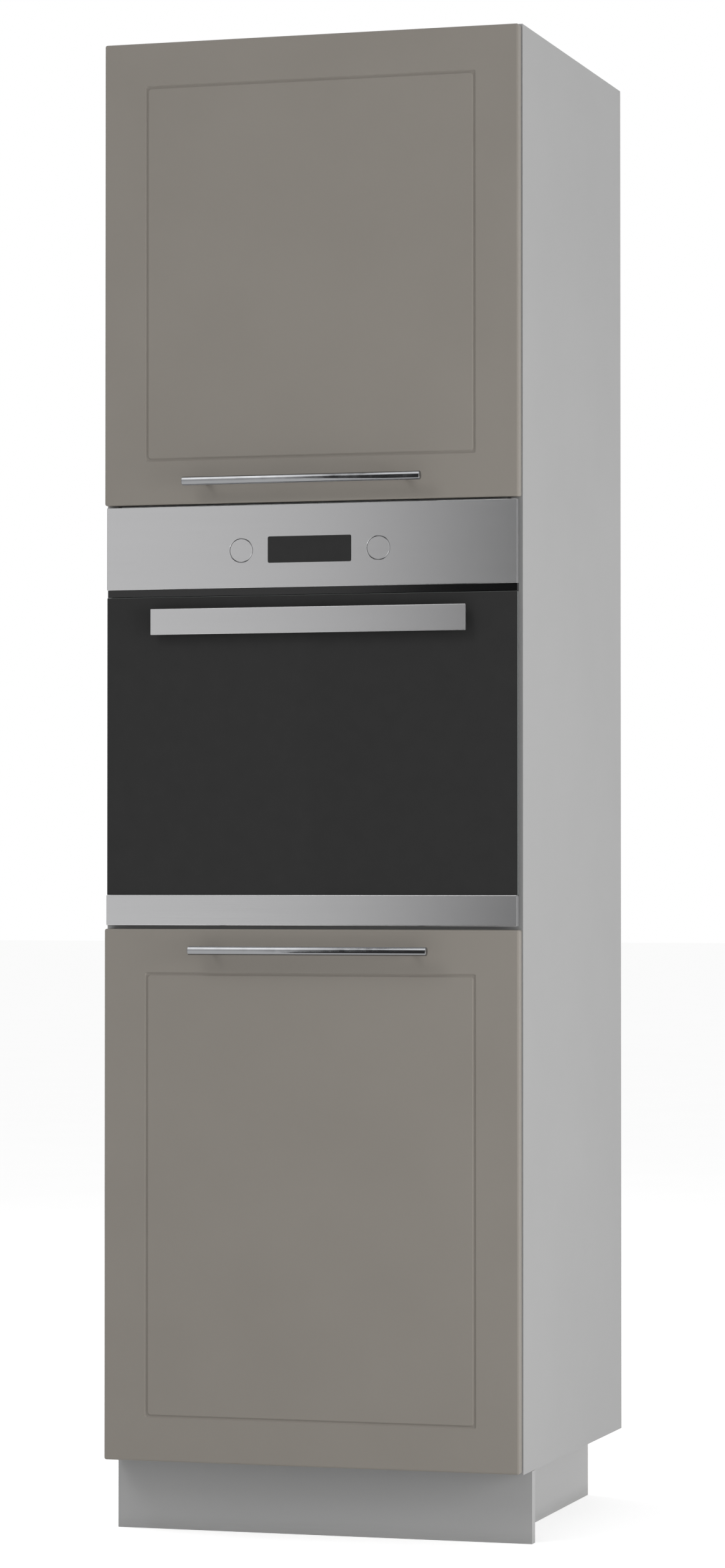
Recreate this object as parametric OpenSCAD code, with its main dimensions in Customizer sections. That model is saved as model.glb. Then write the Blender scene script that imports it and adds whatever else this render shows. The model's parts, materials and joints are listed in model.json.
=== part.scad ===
// Tall kitchen housing with a built-in oven between two side-hung doors.
// Lengths are millimetres. X is to the right, Y to the back, Z up. The floor is z = 0,
// and x = 0, y = 0 is the middle of the unit's whole depth, pulls included.

/* [Cabinet] */
// Width over the side panels
unit_w = 600; // [560:1:640]
// Depth of the side panels
unit_d = 570; // [560:1:600]
// Height of the side panels
carcass_h = 1977.5; // [1950:0.5:2100]
// Thickness of the laminated boards
board_t = 16; // [16:1:19]
// Top of the shelf that carries the oven
oven_floor_z = 845; // [830:1:870]
// Clear height of the oven's niche
niche_h = 585; // [585:1:600]

/* [Plinth and legs] */
// Height of the plinth
plinth_h = 100; // [90:1:150]
// Set-back of the front plinth board behind the carcass
plinth_back = 47; // [35:1:70]
// Set-in of the side plinth boards from the carcass's sides
plinth_in = 50.5; // [40:0.5:60]

/* [Doors] */
// Width of a door
door_w = 597; // [550:1:600]
// Lowest and highest point of the lower door
lower_door_z = [102, 840.5];
// Lowest and highest point of the upper door
upper_door_z = [1430.5, 2075.5];
// Air gap between the doors and the carcass
door_gap = 2; // [1.5:0.1:2.5]
// Rounding of a door's front edges and corners
door_r = 3; // [2:0.5:4]
// Distance of the milled groove from the door's edges
groove_in = 60; // [40:1:90]
// Width of the milled groove at the door's face
groove_w = 5; // [3:0.5:8]

/* [Bar pulls] */
// Diameter of a bar
bar_d = 12; // [8:0.5:14]
// Length of a bar
bar_l = 342; // [320:1:400]
// Distance between a bar's two posts
post_pitch = 288; // [256:32:320]
// Distance of a bar's axis in front of the carcass
bar_out = 45.75; // [40:0.25:50]
// Distance of a bar's axis from the door's edge
bar_edge = 29.5; // [25:0.5:50]
// Sideways offset of the lower and the upper bar
bar_shift = [5.5, -3.5];

/* [Oven] */
// Width of the oven's front
oven_w = 592.4; // [588:0.2:596]
// Height of the control fascia
fascia_h = 115.2; // [100:0.2:125]
// Height of the vent slit below the fascia
vent_h = 10.6; // [6:0.2:14]
// Height of the steel strip along the oven door's foot
strip_h = 42.6; // [36:0.2:50]
// Width and height of the display
display_size = [120, 36];
// Diameter of a knob
knob_d = 33; // [28:0.5:36]
// Distance of a knob's axis from the middle
knob_x = 99; // [90:1:110]
// Way that a knob comes out when it is pressed
knob_travel = 14; // [8:1:15]
// Width of the oven's flat handle
handle_w = 454; // [400:1:480]
// Height of the oven's flat handle
handle_h = 36; // [30:0.2:40]
// Distance of the handle's face in front of the carcass
handle_out = 29.5; // [28:0.5:45]

/* [Hidden] */
$fn = 48;
eps = 1;  // how far a cutting shape runs past the face that it cuts

// Colours
laminate_grey = "#9c9b99";
door_grey = "#8a857f";
plinth_grey = "#8f8f8e";
steel = "#b4b5b7";
chrome = "#c8cacc";
black = "#1d1d1f";
dark_glass = "#26272a";
zinc = "#a9abac";
board_green = "#2f5a3c";
wool = "#c9bf9f";

// Carcass
half_w = unit_w / 2;
inner_half = half_w - board_t;
carcass_z = plinth_h;
top_z = carcass_z + carcass_h;
shelf_high = oven_floor_z + niche_h;    // underside of the fixed shelf over the oven
back_t = 3;                             // thin board at the back of a compartment
back_y = unit_d - 22;
groove_deep = 8;
rail_h = 100;
rail_hole_pitch = 400;
rail_hole_d = 8;
lower_shelf_z = 464;
upper_shelf_z = 1748;
loose_shelf_y = [30, 540];
pin_d = 5;
pin_rows_y = [64, 496];
pin_pitch = 32;
pin_steps = [-2, -1, 0, 1, 2];
bar_front = -bar_out - bar_d / 2;
mid_y = (bar_front + unit_d) / 2;       // the origin's place, counted from the carcass's front

// Cam fittings
cam_d = 15;
cam_in = 34;
cam_deep = 12.5;
cam_rows_y = [50, 470];
bolt_d = 6.8;
bolt_tip_d = 4.8;
bolt_tip = 11;

// Plinth and legs
plinth_y = [plinth_back, plinth_back + board_t];
plinth_side_x = [half_w - plinth_in - board_t, half_w - plinth_in];
leg_x = 195;
leg_y = [100, 500];
shaft_d = 34;
foot_d = 58;
foot_t = 12;
socket_d = 46;
socket_h = 26;

// Doors and their hinges. In a hinge, u runs inward from the carcass's side and v to the back.
door_t = 16;
door_back = -door_gap;
door_front = door_back - door_t;
groove_deep_door = 1.8;
groove_floor = 0.8;
groove_r = 3.2;
hinge_inset = 100;
arm_pin = [29.8, 3];
cup_pin = [9, -9];
link_knee = [17.7, -11.3];
link_t = 2.2;
link_half = 3;
hinge_pin_d = 2.4;
pin_slack = 0.1;
cup_u = 23;
cup_d = 35;
cup_deep = 12;
cup_wall = 0.8;
hinge_z = [lower_door_z[0] + hinge_inset, lower_door_z[1] - hinge_inset,
    upper_door_z[0] + hinge_inset, upper_door_z[1] - hinge_inset];
post_d = 8;
pull_hole_d = 5;
pull_screw_d = 3.9;

// Oven front, from the bottom up
oven_half = oven_w / 2;
oven_bottom = oven_floor_z + 0.1;
strip_top = oven_bottom + strip_h;
fascia_top = oven_floor_z + 582.6;
fascia_bottom = fascia_top - fascia_h;
glass_top = fascia_bottom - vent_h;
fascia_front = -15;
fascia_back = -8.5;
glass_front = -13.5;
glass_back = -9.5;
strip_front = -16.5;
sheet = 1.5;
glass_edge_r = 0.9;
strip_bend_r = 1.4;
pan_back = -5.5;
pan_bottom = oven_bottom + 24;
frame_t = 1.5;
frame_bottom = pan_bottom;
frame_half = oven_half - 2.2;
vent_face = -12;                        // black trim that closes the vent slit
vent_bottom = glass_top + 0.8;

// Oven body
casing_half = 279;
casing_t = 1;
casing_back = 540;
casing_top = fascia_top + 1.9;
cavity_half = 239;
cavity_z = [oven_floor_z + 85, oven_floor_z + 432];
cavity_deep = 430;
wool_t = 30;
plug_half = 225;
plug_z = [cavity_z[0] + 15, cavity_z[1] - 12];
plug_back = 14;
inner_glass_t = 4;
window_half = 200;
window_z = [cavity_z[0] + 50, cavity_z[1] - 47];
fan_z = (cavity_z[0] + cavity_z[1]) / 2;
shaft_hole_d = 12;

// Oven door pivot
pivot_y = -9;
pivot_z = oven_bottom + 8.5;
pivot_d = 5;
bracket_x = [275, 278];
block_x = [255, 274];

// Controls
knob_z = fascia_top - 63.1;
display_z = fascia_top - 62.7;
knob_hole_d = knob_d + 0.3;
knob_bevel = 0.9;
hole_bevel = 0.6;
spindle_d = 6;
sleeve_d = 10;
sleeve_back = 12;
board_y = [13, 14.6];
switch_d = 26;
switch_back = 28;
front_cut_x = 112;
front_cut_z = [knob_z - 21.5, knob_z + 21.5];

// Oven handle
handle_t = 4;
handle_r = 0.8;
handle_z = glass_top - 35.2;
handle_post_x = 200;
stud_d = 6;

// Runners
runner_z = [oven_floor_z + 135, oven_floor_z + 205, oven_floor_z + 275, oven_floor_z + 345];
runner_y = [28, 392];
runner_x = [226, 236];
tray_half = 229;
rod_d = 5;

// Moves a shape from the carcass's own frame, where y = 0 is its front edge, to the unit's.
module placed() { translate([0, -mid_y, 0]) children(); }
module slab(x, y, z) { translate([x[0], y[0], z[0]]) cube([x[1] - x[0], y[1] - y[0], z[1] - z[0]]); }
module both_sides() {
    children();
    mirror([1, 0, 0]) children();
}
module rod_x(x, y, z, d) { translate([x[0], y, z]) rotate([0, 90, 0]) cylinder(h = x[1] - x[0], d = d); }
module rod_y(x, y, z, d) { translate([x, y[1], z]) rotate([90, 0, 0]) cylinder(h = y[1] - y[0], d = d); }
module cone_y(x, y, z, d) { translate([x, y[1], z]) rotate([90, 0, 0]) cylinder(h = y[1] - y[0], d1 = d[1], d2 = d[0]); }
module rod_z(x, y, z, d) { translate([x, y, z[0]]) cylinder(h = z[1] - z[0], d = d); }

// A flat shape drawn in X and Z, given its thickness along Y.
module upright(y) { translate([0, y[1], 0]) rotate([90, 0, 0]) linear_extrude(height = y[1] - y[0]) children(); }

module rounded_rect(size, r) {
    square([size[0] - 2 * r, size[1]], center = true);
    square([size[0], size[1] - 2 * r], center = true);
    for (sx = [-1, 1], sz = [-1, 1])
        translate([sx * (size[0] / 2 - r), sz * (size[1] / 2 - r)]) circle(r);
}

// A panel whose front edges and corners have one radius and whose back is flat.
module soft_panel(w, z, y, r) {
    h = z[1] - z[0];
    translate([0, 0, (z[0] + z[1]) / 2]) {
        upright([y[0] + r, y[1]]) rounded_rect([w, h], r);
        upright([y[0], y[0] + r]) square([w - 2 * r, h - 2 * r], center = true);
        for (s = [-1, 1]) {
            rod_x([-w / 2 + r, w / 2 - r], y[0] + r, s * (h / 2 - r), 2 * r);
            rod_z(s * (w / 2 - r), y[0] + r, [-h / 2 + r, h / 2 - r], 2 * r);
            for (t = [-1, 1]) translate([s * (w / 2 - r), y[0] + r, t * (h / 2 - r)]) sphere(r);
        }
    }
}

// ---- Carcass ----

module cam_bolt_holes(z) {
    for (y = cam_rows_y) rod_x([inner_half - eps, inner_half + bolt_tip], y, z, 5);
}

module pin_holes(z) {
    for (y = pin_rows_y, k = pin_steps)
        rod_x([inner_half - eps, inner_half + 10], y, z + k * pin_pitch, pin_d);
}

panel_mids = [carcass_z + board_t / 2, oven_floor_z - board_t / 2,
    shelf_high + board_t / 2, top_z - board_t / 2];
screw_z = [oven_floor_z + 105, oven_floor_z + 405];
screw_x = 290;

// The right side; the left one is its mirror image.
module side_panel() {
    difference() {
        slab([inner_half, half_w], [0, unit_d], [carcass_z, top_z]);
        slab([inner_half - eps, inner_half + groove_deep], [back_y, back_y + back_t + 0.2],
            [carcass_z - eps, oven_floor_z - board_t / 2]);
        slab([inner_half - eps, inner_half + groove_deep], [back_y, back_y + back_t + 0.2],
            [shelf_high + board_t / 2, top_z + eps]);
        for (z = panel_mids) cam_bolt_holes(z);
        pin_holes(lower_shelf_z - pin_d / 2);
        pin_holes(upper_shelf_z - pin_d / 2);
        for (z = screw_z) rod_y(screw_x, [-eps, 20], z, 3);
    }
}
module right_side_panel() { color(laminate_grey) placed() side_panel(); }
module left_side_panel() { color(laminate_grey) placed() mirror([1, 0, 0]) side_panel(); }

// A board between the side panels, with bores for the cams on one of its faces.
module fixed_board(z, y, cams_below) {
    cam_z = cams_below ? [z[0] - eps, z[0] + cam_deep] : [z[1] - cam_deep, z[1] + eps];
    difference() {
        slab([-inner_half, inner_half], y, z);
        both_sides() for (c = cam_rows_y) {
            rod_z(inner_half - cam_in, c, cam_z, cam_d + 0.4);
            rod_x([inner_half - cam_in, inner_half + eps], c, (z[0] + z[1]) / 2, bolt_d + 1.2);
        }
    }
}
module bottom_panel() { color(laminate_grey) placed() fixed_board([carcass_z, carcass_z + board_t], [0, back_y], true); }
module oven_shelf() { color(laminate_grey) placed() fixed_board([oven_floor_z - board_t, oven_floor_z], [0, back_y], true); }
module upper_fixed_shelf() { color(laminate_grey) placed() fixed_board([shelf_high, shelf_high + board_t], [0, back_y], false); }
module top_panel() { color(laminate_grey) placed() fixed_board([top_z - board_t, top_z], [0, back_y], false); }

module loose_shelf(z) { slab([-inner_half + 1, inner_half - 1], loose_shelf_y, [z, z + board_t]); }
module lower_shelf() { color(laminate_grey) placed() loose_shelf(lower_shelf_z); }
module upper_shelf() { color(laminate_grey) placed() loose_shelf(upper_shelf_z); }

module shelf_pins() {
    color(zinc) placed() both_sides()
        for (z = [lower_shelf_z, upper_shelf_z], y = pin_rows_y)
            rod_x([inner_half - 8, inner_half + 9.5], y, z - pin_d / 2, pin_d);
}

module back_board(z) {
    slab([-inner_half - groove_deep + 0.5, inner_half + groove_deep - 0.5], [back_y, back_y + back_t], z);
}
module lower_back_panel() { color("#b9b8b5") placed() back_board([carcass_z, oven_floor_z - board_t]); }
module upper_back_panel() { color("#b9b8b5") placed() back_board([shelf_high + board_t, top_z]); }

rail_z = [top_z - board_t - rail_h, top_z - board_t];
module wall_rail() {
    color(laminate_grey) placed() difference() {
        slab([-inner_half, inner_half], [unit_d - board_t, unit_d], rail_z);
        for (s = [-1, 1])
            rod_y(s * rail_hole_pitch / 2, [unit_d - board_t - eps, unit_d + eps],
                (rail_z[0] + rail_z[1]) / 2, rail_hole_d);
    }
}

// A cam and its bolt, for one end of a fixed board.
module cam_set(z, cams_below) {
    s = cams_below ? -1 : 1;
    for (y = cam_rows_y) {
        translate([inner_half - cam_in, y, z + s * (board_t / 2 - cam_deep / 2)]) difference() {
            cylinder(h = cam_deep - 0.2, d = cam_d, center = true);
            translate([0, 0, s * cam_deep / 2]) cube([8, 1.2, 3], center = true);
        }
        rod_x([inner_half - cam_in + cam_d / 2 + 0.3, inner_half], y, z, bolt_d);
        rod_x([inner_half, inner_half + bolt_tip - 0.5], y, z, bolt_tip_d);
    }
}
module cam_fittings() {
    color(zinc) placed() both_sides() {
        cam_set(panel_mids[0], true);
        cam_set(panel_mids[1], true);
        cam_set(panel_mids[2], false);
        cam_set(panel_mids[3], false);
    }
}

// ---- Plinth and legs ----

module plinth_front() { color(plinth_grey) placed() slab([-half_w, half_w], plinth_y, [0, plinth_h - 0.5]); }
module plinth_sides() {
    color(plinth_grey) placed() both_sides() slab(plinth_side_x, [plinth_y[1], unit_d - 2], [0, plinth_h - 0.5]);
}

// A clip behind the front board grips each front leg; a block ties each side board to it.
module plinth_clips() {
    clip_z = [42, 62];
    color(black) placed() both_sides() {
        difference() {
            slab([leg_x - 22, leg_x + 22], [plinth_y[1], leg_y[0] + 6], clip_z);
            rod_z(leg_x, leg_y[0], [clip_z[0] - eps, clip_z[1] + eps], shaft_d + 0.4);
        }
        slab([plinth_side_x[0] - 6, plinth_side_x[0]], [plinth_y[1], plinth_y[1] + 16], [15, 35]);
    }
}

module leg_sockets() {
    color(black) placed() for (sx = [-1, 1], y = leg_y) difference() {
        union() {
            rod_z(sx * leg_x, y, [plinth_h - 4, plinth_h], 70);
            rod_z(sx * leg_x, y, [plinth_h - socket_h, plinth_h - 4], socket_d);
        }
        rod_z(sx * leg_x, y, [plinth_h - socket_h - eps, plinth_h - 5], shaft_d + 0.2);
    }
}

module leg_feet() {
    color(black) placed() for (sx = [-1, 1], y = leg_y) {
        rod_z(sx * leg_x, y, [0, foot_t], foot_d);
        rod_z(sx * leg_x, y, [foot_t, plinth_h - 6], shaft_d);
    }
}

// ---- Doors ----

// The waste of a milled groove: a ring with rounded corners whose walls slope to a narrow floor.
module sloped_block(w, h, slope, deep, y) {
    steps = 3;
    n = 4 * (steps + 1);
    quarters = [[-1, -1, 180], [1, -1, 270], [1, 1, 0], [-1, 1, 90]];
    function ring(y, r) = [for (q = quarters, k = [0:steps]) let (a = q[2] + 90 * k / steps)
        [q[0] * (w / 2 - groove_r) + r * cos(a), y, q[1] * (h / 2 - groove_r) + r * sin(a)]];
    polyhedron(concat(ring(y, groove_r), ring(y + deep, groove_r - slope)), [[for (i = [n - 1:-1:0]) i], [for (i = [n:2 * n - 1]) i],
        for (i = [0:n - 1]) [i, (i + 1) % n, (i + 1) % n + n, i + n]]);
}
module milled_groove(z) {
    w = door_w - 2 * groove_in;
    h = z[1] - z[0] - 2 * groove_in;
    slope = (groove_w - groove_floor) / 2;
    translate([0, 0, (z[0] + z[1]) / 2]) difference() {
        sloped_block(w, h, slope, groove_deep_door, door_front);
        sloped_block(w - 2 * groove_w, h - 2 * groove_w, -slope, groove_deep_door + 0.001, door_front);
    }
}

module door(z, bar_z, bar_x) {
    difference() {
        soft_panel(door_w, z, [door_front, door_back], door_r);
        milled_groove(z);
        for (hz = [z[0] + hinge_inset, z[1] - hinge_inset])
            rod_y(-half_w + cup_u, [door_back - cup_deep, door_back + eps], hz, cup_d);
        for (s = [-1, 1])
            rod_y(bar_x + s * post_pitch / 2, [door_front - eps, door_back + eps], bar_z, pull_hole_d);
    }
}
lower_bar_z = lower_door_z[1] - bar_edge;
upper_bar_z = upper_door_z[0] + bar_edge;
module lower_door() { color(door_grey) placed() door(lower_door_z, lower_bar_z, bar_shift[0]); }
module upper_door() { color(door_grey) placed() door(upper_door_z, upper_bar_z, bar_shift[1]); }

// A round bar on two posts, with the two screws that hold it from the door's back.
module pull(bar_x, bar_z) {
    translate([bar_x, 0, bar_z]) {
        difference() {
            union() {
                rod_x([-bar_l / 2, bar_l / 2], -bar_out, 0, bar_d);
                for (s = [-1, 1]) rod_y(s * post_pitch / 2, [-bar_out, door_front], 0, post_d);
            }
            for (s = [-1, 1]) rod_y(s * post_pitch / 2, [door_front - 14, door_front + eps], 0, 4);
        }
        for (s = [-1, 1]) {
            rod_y(s * post_pitch / 2, [door_front - 12, door_back], 0, pull_screw_d);
            rod_y(s * post_pitch / 2, [door_back, door_back + 1.5], 0, 8);
        }
    }
}
module lower_pull() { color(chrome) placed() pull(bar_shift[0], lower_bar_z); }
module upper_pull() { color(chrome) placed() pull(bar_shift[1], upper_bar_z); }

module door_bumpers() {
    bumper_z = [lower_door_z[0] + 20, lower_door_z[1] - 20, upper_door_z[0] + 28, upper_door_z[1] - 20];
    color("#e6e6e4") placed() for (z = bumper_z) rod_y(half_w - board_t / 2, [-door_gap + 0.3, 0], z, 8);
}

// ---- Hinges, on the left ----

module at_hinge(z) { translate([-half_w, 0, z]) children(); }

module hinge_plates() {
    color(zinc) placed() for (z = hinge_z) at_hinge(z)
        slab([board_t, board_t + 3], [22, 62], [-24, 24]);
}

module hinge_arms() {
    color(zinc) placed() for (z = hinge_z) at_hinge(z) {
        slab([board_t + 3, 34], [8, 64], [-8, 8]);
        for (s = [-1, 1]) {
            slab([26, 34], [0, 8], s > 0 ? [link_half + 0.3, 8] : [-8, -link_half - 0.3]);
        }
        rod_z(arm_pin[0], arm_pin[1], [-link_half - 0.5, link_half + 0.5], hinge_pin_d);
    }
}

// A flat bar from one point to the next, seen from above.
module link_bar(a, b) {
    d = b - a;
    translate([a[0], a[1], -link_half]) rotate([0, 0, atan2(d[1], d[0])])
        translate([0, -link_t / 2, 0]) cube([norm(d), link_t, 2 * link_half]);
}
module hinge_link() {
    difference() {
        union() {
            link_bar(cup_pin, link_knee);
            link_bar(link_knee, arm_pin);
            rod_z(link_knee[0], link_knee[1], [-link_half, link_half], link_t + 0.6);
            rod_z(cup_pin[0], cup_pin[1], [-link_half, link_half], 4.4);
            rod_z(arm_pin[0], arm_pin[1], [-link_half, link_half], 5.2);
        }
        for (p = [cup_pin, arm_pin])
            rod_z(p[0], p[1], [-link_half - eps, link_half + eps], hinge_pin_d + pin_slack);
    }
}
module hinge_cup() {
    pin_half = 8.6;
    difference() {
        union() {
            rod_y(cup_u, [door_back - cup_deep, door_back], 0, cup_d);
            slab([cup_u - 8, cup_u + 10], [door_back, door_back + 1], [-25, 25]);
            rod_y(cup_u, [door_back, door_back + 1], 0, cup_d + 3);
        }
        rod_y(cup_u, [door_back - cup_deep + cup_wall, door_back + 1 + eps], 0, cup_d - 2 * cup_wall);
    }
    rod_z(cup_pin[0], cup_pin[1], [-pin_half, pin_half], hinge_pin_d);
}
module links(zs) { color(steel) placed() for (z = zs) at_hinge(z) hinge_link(); }
module cups(zs) { color(zinc) placed() for (z = zs) at_hinge(z) hinge_cup(); }
module lower_hinge_links() { links([hinge_z[0], hinge_z[1]]); }
module upper_hinge_links() { links([hinge_z[2], hinge_z[3]]); }
module lower_hinge_cups() { cups([hinge_z[0], hinge_z[1]]); }
module upper_hinge_cups() { cups([hinge_z[2], hinge_z[3]]); }

// ---- Oven body ----

module oven_casing() {
    slots = [-5, -4, -3, -2, -1, 0, 1, 2, 3, 4, 5];
    color(zinc) placed() difference() {
        slab([-casing_half, casing_half], [0, casing_back], [oven_floor_z, casing_top]);
        slab([-casing_half + casing_t, casing_half - casing_t], [-eps, casing_back - casing_t],
            [oven_floor_z + casing_t, casing_top - casing_t]);
        slab([-casing_half - eps, casing_half + eps], [-eps, 3], [oven_floor_z - eps, frame_bottom]);
        for (k = slots)
            slab([k * 40 - 3, k * 40 + 3], [casing_back - casing_t - eps, casing_back + eps],
                [casing_top - 110, casing_top - 40]);
    }
}

cavity_outer = [cavity_half + casing_t, cavity_z[0] - casing_t, cavity_z[1] + casing_t];
module oven_insulation() {
    color(wool) placed() difference() {
        slab([-cavity_outer[0] - wool_t, cavity_outer[0] + wool_t], [4, cavity_deep + casing_t + wool_t],
            [cavity_outer[1] - wool_t, cavity_outer[2] + wool_t]);
        slab([-cavity_outer[0], cavity_outer[0]], [4 - eps, cavity_deep + casing_t],
            [cavity_outer[1], cavity_outer[2]]);
        slab([-66, 66], [cavity_deep, cavity_deep + wool_t + 2 * eps], [fan_z - 46, fan_z + 46]);
    }
}

module oven_cavity() {
    color("#3a3d42") placed() difference() {
        slab([-cavity_outer[0], cavity_outer[0]], [0, cavity_deep + casing_t], [cavity_outer[1], cavity_outer[2]]);
        slab([-cavity_half, cavity_half], [-eps, cavity_deep], cavity_z);
        rod_y(0, [cavity_deep - eps, cavity_deep + 2 * eps], fan_z, shaft_hole_d);
    }
}

module front_frame() {
    color(black) placed() difference() {
        slab([-frame_half, frame_half], [-frame_t, 0], [frame_bottom, fascia_top - 1.6]);
        slab([-cavity_half, cavity_half], [-frame_t - eps, eps], cavity_z);
        slab([-front_cut_x, front_cut_x], [-frame_t - eps, eps], front_cut_z);
        for (s = [-1, 1], z = screw_z) rod_y(s * screw_x, [-frame_t - eps, eps], z, 4.2);
    }
}

module door_gasket() {
    color("#6d6d6b") placed() upright([pan_back + 0.2, -frame_t]) difference() {
        translate([0, fan_z]) rounded_rect([2 * cavity_half + 24, cavity_z[1] - cavity_z[0] + 24], 14);
        translate([0, fan_z]) rounded_rect([2 * cavity_half + 8, cavity_z[1] - cavity_z[0] + 8], 6);
    }
}

module oven_screws() {
    color(zinc) placed() for (s = [-1, 1], z = screw_z) {
        rod_y(s * screw_x, [-frame_t - 2, -frame_t], z, 8);
        rod_y(s * screw_x, [-frame_t, 0], z, 3.9);
        rod_y(s * screw_x, [0, 18], z, 2.8);
    }
}

module terminal_box() {
    color(black) placed() difference() {
        slab([150, 240], [casing_back, casing_back + 22], [oven_floor_z + 60, oven_floor_z + 110]);
        rod_z(195, casing_back + 11, [oven_floor_z + 60 - eps, oven_floor_z + 80], 12);
    }
}

// ---- Controls ----

module control_fascia() {
    color(steel) placed() difference() {
        soft_panel(oven_w, [fascia_bottom, fascia_top], [fascia_front, fascia_back], 1);
        translate([0, 0, display_z]) upright([fascia_front - eps, fascia_back + eps])
            rounded_rect([display_size[0] + 0.6, display_size[1] + 0.6], 2.3);
        for (s = [-1, 1]) {
            rod_y(s * knob_x, [fascia_front - eps, fascia_back + eps], knob_z, knob_hole_d);
            cone_y(s * knob_x, [fascia_front - eps, fascia_front + hole_bevel], knob_z,
                [knob_hole_d + 2 * hole_bevel + 2 * eps, knob_hole_d]);
        }
    }
}

module control_housing() {
    color(black) placed() difference() {
        union() {
            slab([-oven_half + 2, oven_half - 2], [fascia_back, -frame_t], [fascia_bottom + 2, fascia_top - 1.6]);
            slab([-oven_half + 4, oven_half - 4], [fascia_back, -frame_t], [vent_bottom, fascia_bottom + 3]);
            slab([-oven_half + 1, oven_half - 1], [vent_face, fascia_back + 1], [vent_bottom, fascia_bottom]);
        }
        slab([-125, 125], [fascia_back - eps, -frame_t + eps], [knob_z - 30, knob_z + 30]);
    }
}

module display_window() {
    color(dark_glass) placed() translate([0, 0, display_z])
        upright([fascia_front, fascia_front + 2.5]) rounded_rect(display_size, 2);
}

// The circuit board on its standoffs, with the display module in front and the two switches behind.
module control_board() {
    board_x = 124;
    board_z = [knob_z - 33, knob_z + 33];
    display_half = [display_size[0] / 2 - 2, display_size[1] / 2 - 2];
    color(board_green) placed() {
        difference() {
            union() {
                slab([-board_x, board_x], board_y, board_z);
                for (s = [-1, 1]) rod_y(s * knob_x, [board_y[1], switch_back], knob_z, switch_d);
                for (s = [-1, 1], z = [board_z[0] + 6, board_z[1] - 6])
                    rod_y(s * (board_x - 5), [0, board_y[0]], z, 6);
            }
            for (s = [-1, 1]) rod_y(s * knob_x, [board_y[0] - eps, switch_back - 2], knob_z, spindle_d + 0.1);
        }
        slab([-display_half[0], display_half[0]], [fascia_front + 2.5, board_y[0]],
            [display_z - display_half[1], display_z + display_half[1]]);
    }
}

module spindle(s) { rod_y(s * knob_x, [-12.5, switch_back - 3], knob_z, spindle_d); }
module left_spindle() { color(zinc) placed() spindle(-1); }
module right_spindle() { color(zinc) placed() spindle(1); }

// A knob is a cap with a sleeve that slides on its spindle. A ring is milled in its face.
module knob(s) {
    translate([s * knob_x, 0, knob_z]) difference() {
        union() {
            rod_y(0, [fascia_front + knob_bevel, -4], 0, knob_d);
            cone_y(0, [fascia_front, fascia_front + knob_bevel], 0, [knob_d - 2 * knob_bevel, knob_d]);
            rod_y(0, [-4, sleeve_back], 0, sleeve_d);
        }
        rod_y(0, [-13, sleeve_back + eps], 0, spindle_d + 0.1);
        difference() {
            rod_y(0, [-12, -4 + eps], 0, knob_d - 3);
            rod_y(0, [-13, -4 + 2 * eps], 0, sleeve_d);
        }
    }
}
module left_knob() { color(steel) placed() knob(-1); }
module right_knob() { color(steel) placed() knob(1); }

// ---- Oven door ----

module oven_hinge_brackets() {
    color(zinc) placed() both_sides() {
        slab(bracket_x, [pivot_y - 4, 42], [pivot_z - 4.5, pivot_z + 4.5]);
        rod_x([block_x[0] + 1, bracket_x[0]], pivot_y, pivot_z, pivot_d);
    }
}
module oven_hinge_blocks() {
    color(zinc) placed() both_sides() difference() {
        union() {
            slab(block_x, [strip_front + sheet, glass_back], [pivot_z - 6, strip_top - 2]);
            slab(block_x, [glass_back, pan_back], [pivot_z - 6, pan_bottom]);
        }
        rod_x([block_x[0] - eps, block_x[1] + eps], pivot_y, pivot_z, pivot_d + 0.1);
    }
}

module handle_holes(y) {
    for (s = [-1, 1]) rod_y(s * handle_post_x, [y[0] - eps, y[1] + eps], handle_z, stud_d + 0.4);
}

module oven_door_glass() {
    color(dark_glass) placed() difference() {
        soft_panel(oven_w, [strip_top, glass_top], [glass_front, glass_back], glass_edge_r);
        handle_holes([glass_front, glass_back]);
    }
}

module oven_door_pan() {
    plug_wall = 2;
    color(black) placed() difference() {
        union() {
            slab([-oven_half + 2, oven_half - 2], [glass_back, pan_back], [pan_bottom, glass_top - 2]);
            slab([-plug_half, plug_half], [pan_back, plug_back], plug_z);
        }
        slab([-window_half, window_half], [glass_back - eps, pan_back], window_z);
        slab([-plug_half + plug_wall, plug_half - plug_wall], [pan_back, plug_back + eps],
            [plug_z[0] + plug_wall, plug_z[1] - plug_wall]);
        handle_holes([glass_back, pan_back]);
    }
}

module inner_glass() {
    color(dark_glass) placed() slab([-plug_half, plug_half], [plug_back, plug_back + inner_glass_t], plug_z);
}

// The steel strip along the door's foot: a channel, open at the back.
module oven_door_trim() {
    return_x = 272;
    color(steel) placed() difference() {
        soft_panel(oven_w, [oven_bottom, strip_top], [strip_front, -8], strip_bend_r);
        slab([-oven_half + sheet, oven_half - sheet], [strip_front + sheet, -8 + eps],
            [oven_bottom + sheet, strip_top - sheet]);
        slab([-oven_half - eps, oven_half + eps], [glass_back, -8 + eps], [strip_top - sheet - eps, strip_top + eps]);
        both_sides() slab([return_x, oven_half - sheet], [strip_front + sheet, -8 + eps],
            [oven_bottom - eps, oven_bottom + sheet + eps]);
    }
}

module oven_handle() {
    color(steel) placed() {
        soft_panel(handle_w, [handle_z - handle_h / 2, handle_z + handle_h / 2],
            [-handle_out, -handle_out + handle_t], handle_r);
        for (s = [-1, 1]) {
            rod_y(s * handle_post_x, [-handle_out + handle_t, glass_front], handle_z, 14);
            rod_y(s * handle_post_x, [glass_front, pan_back], handle_z, stud_d);
        }
    }
}

// ---- Inside the oven ----

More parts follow.
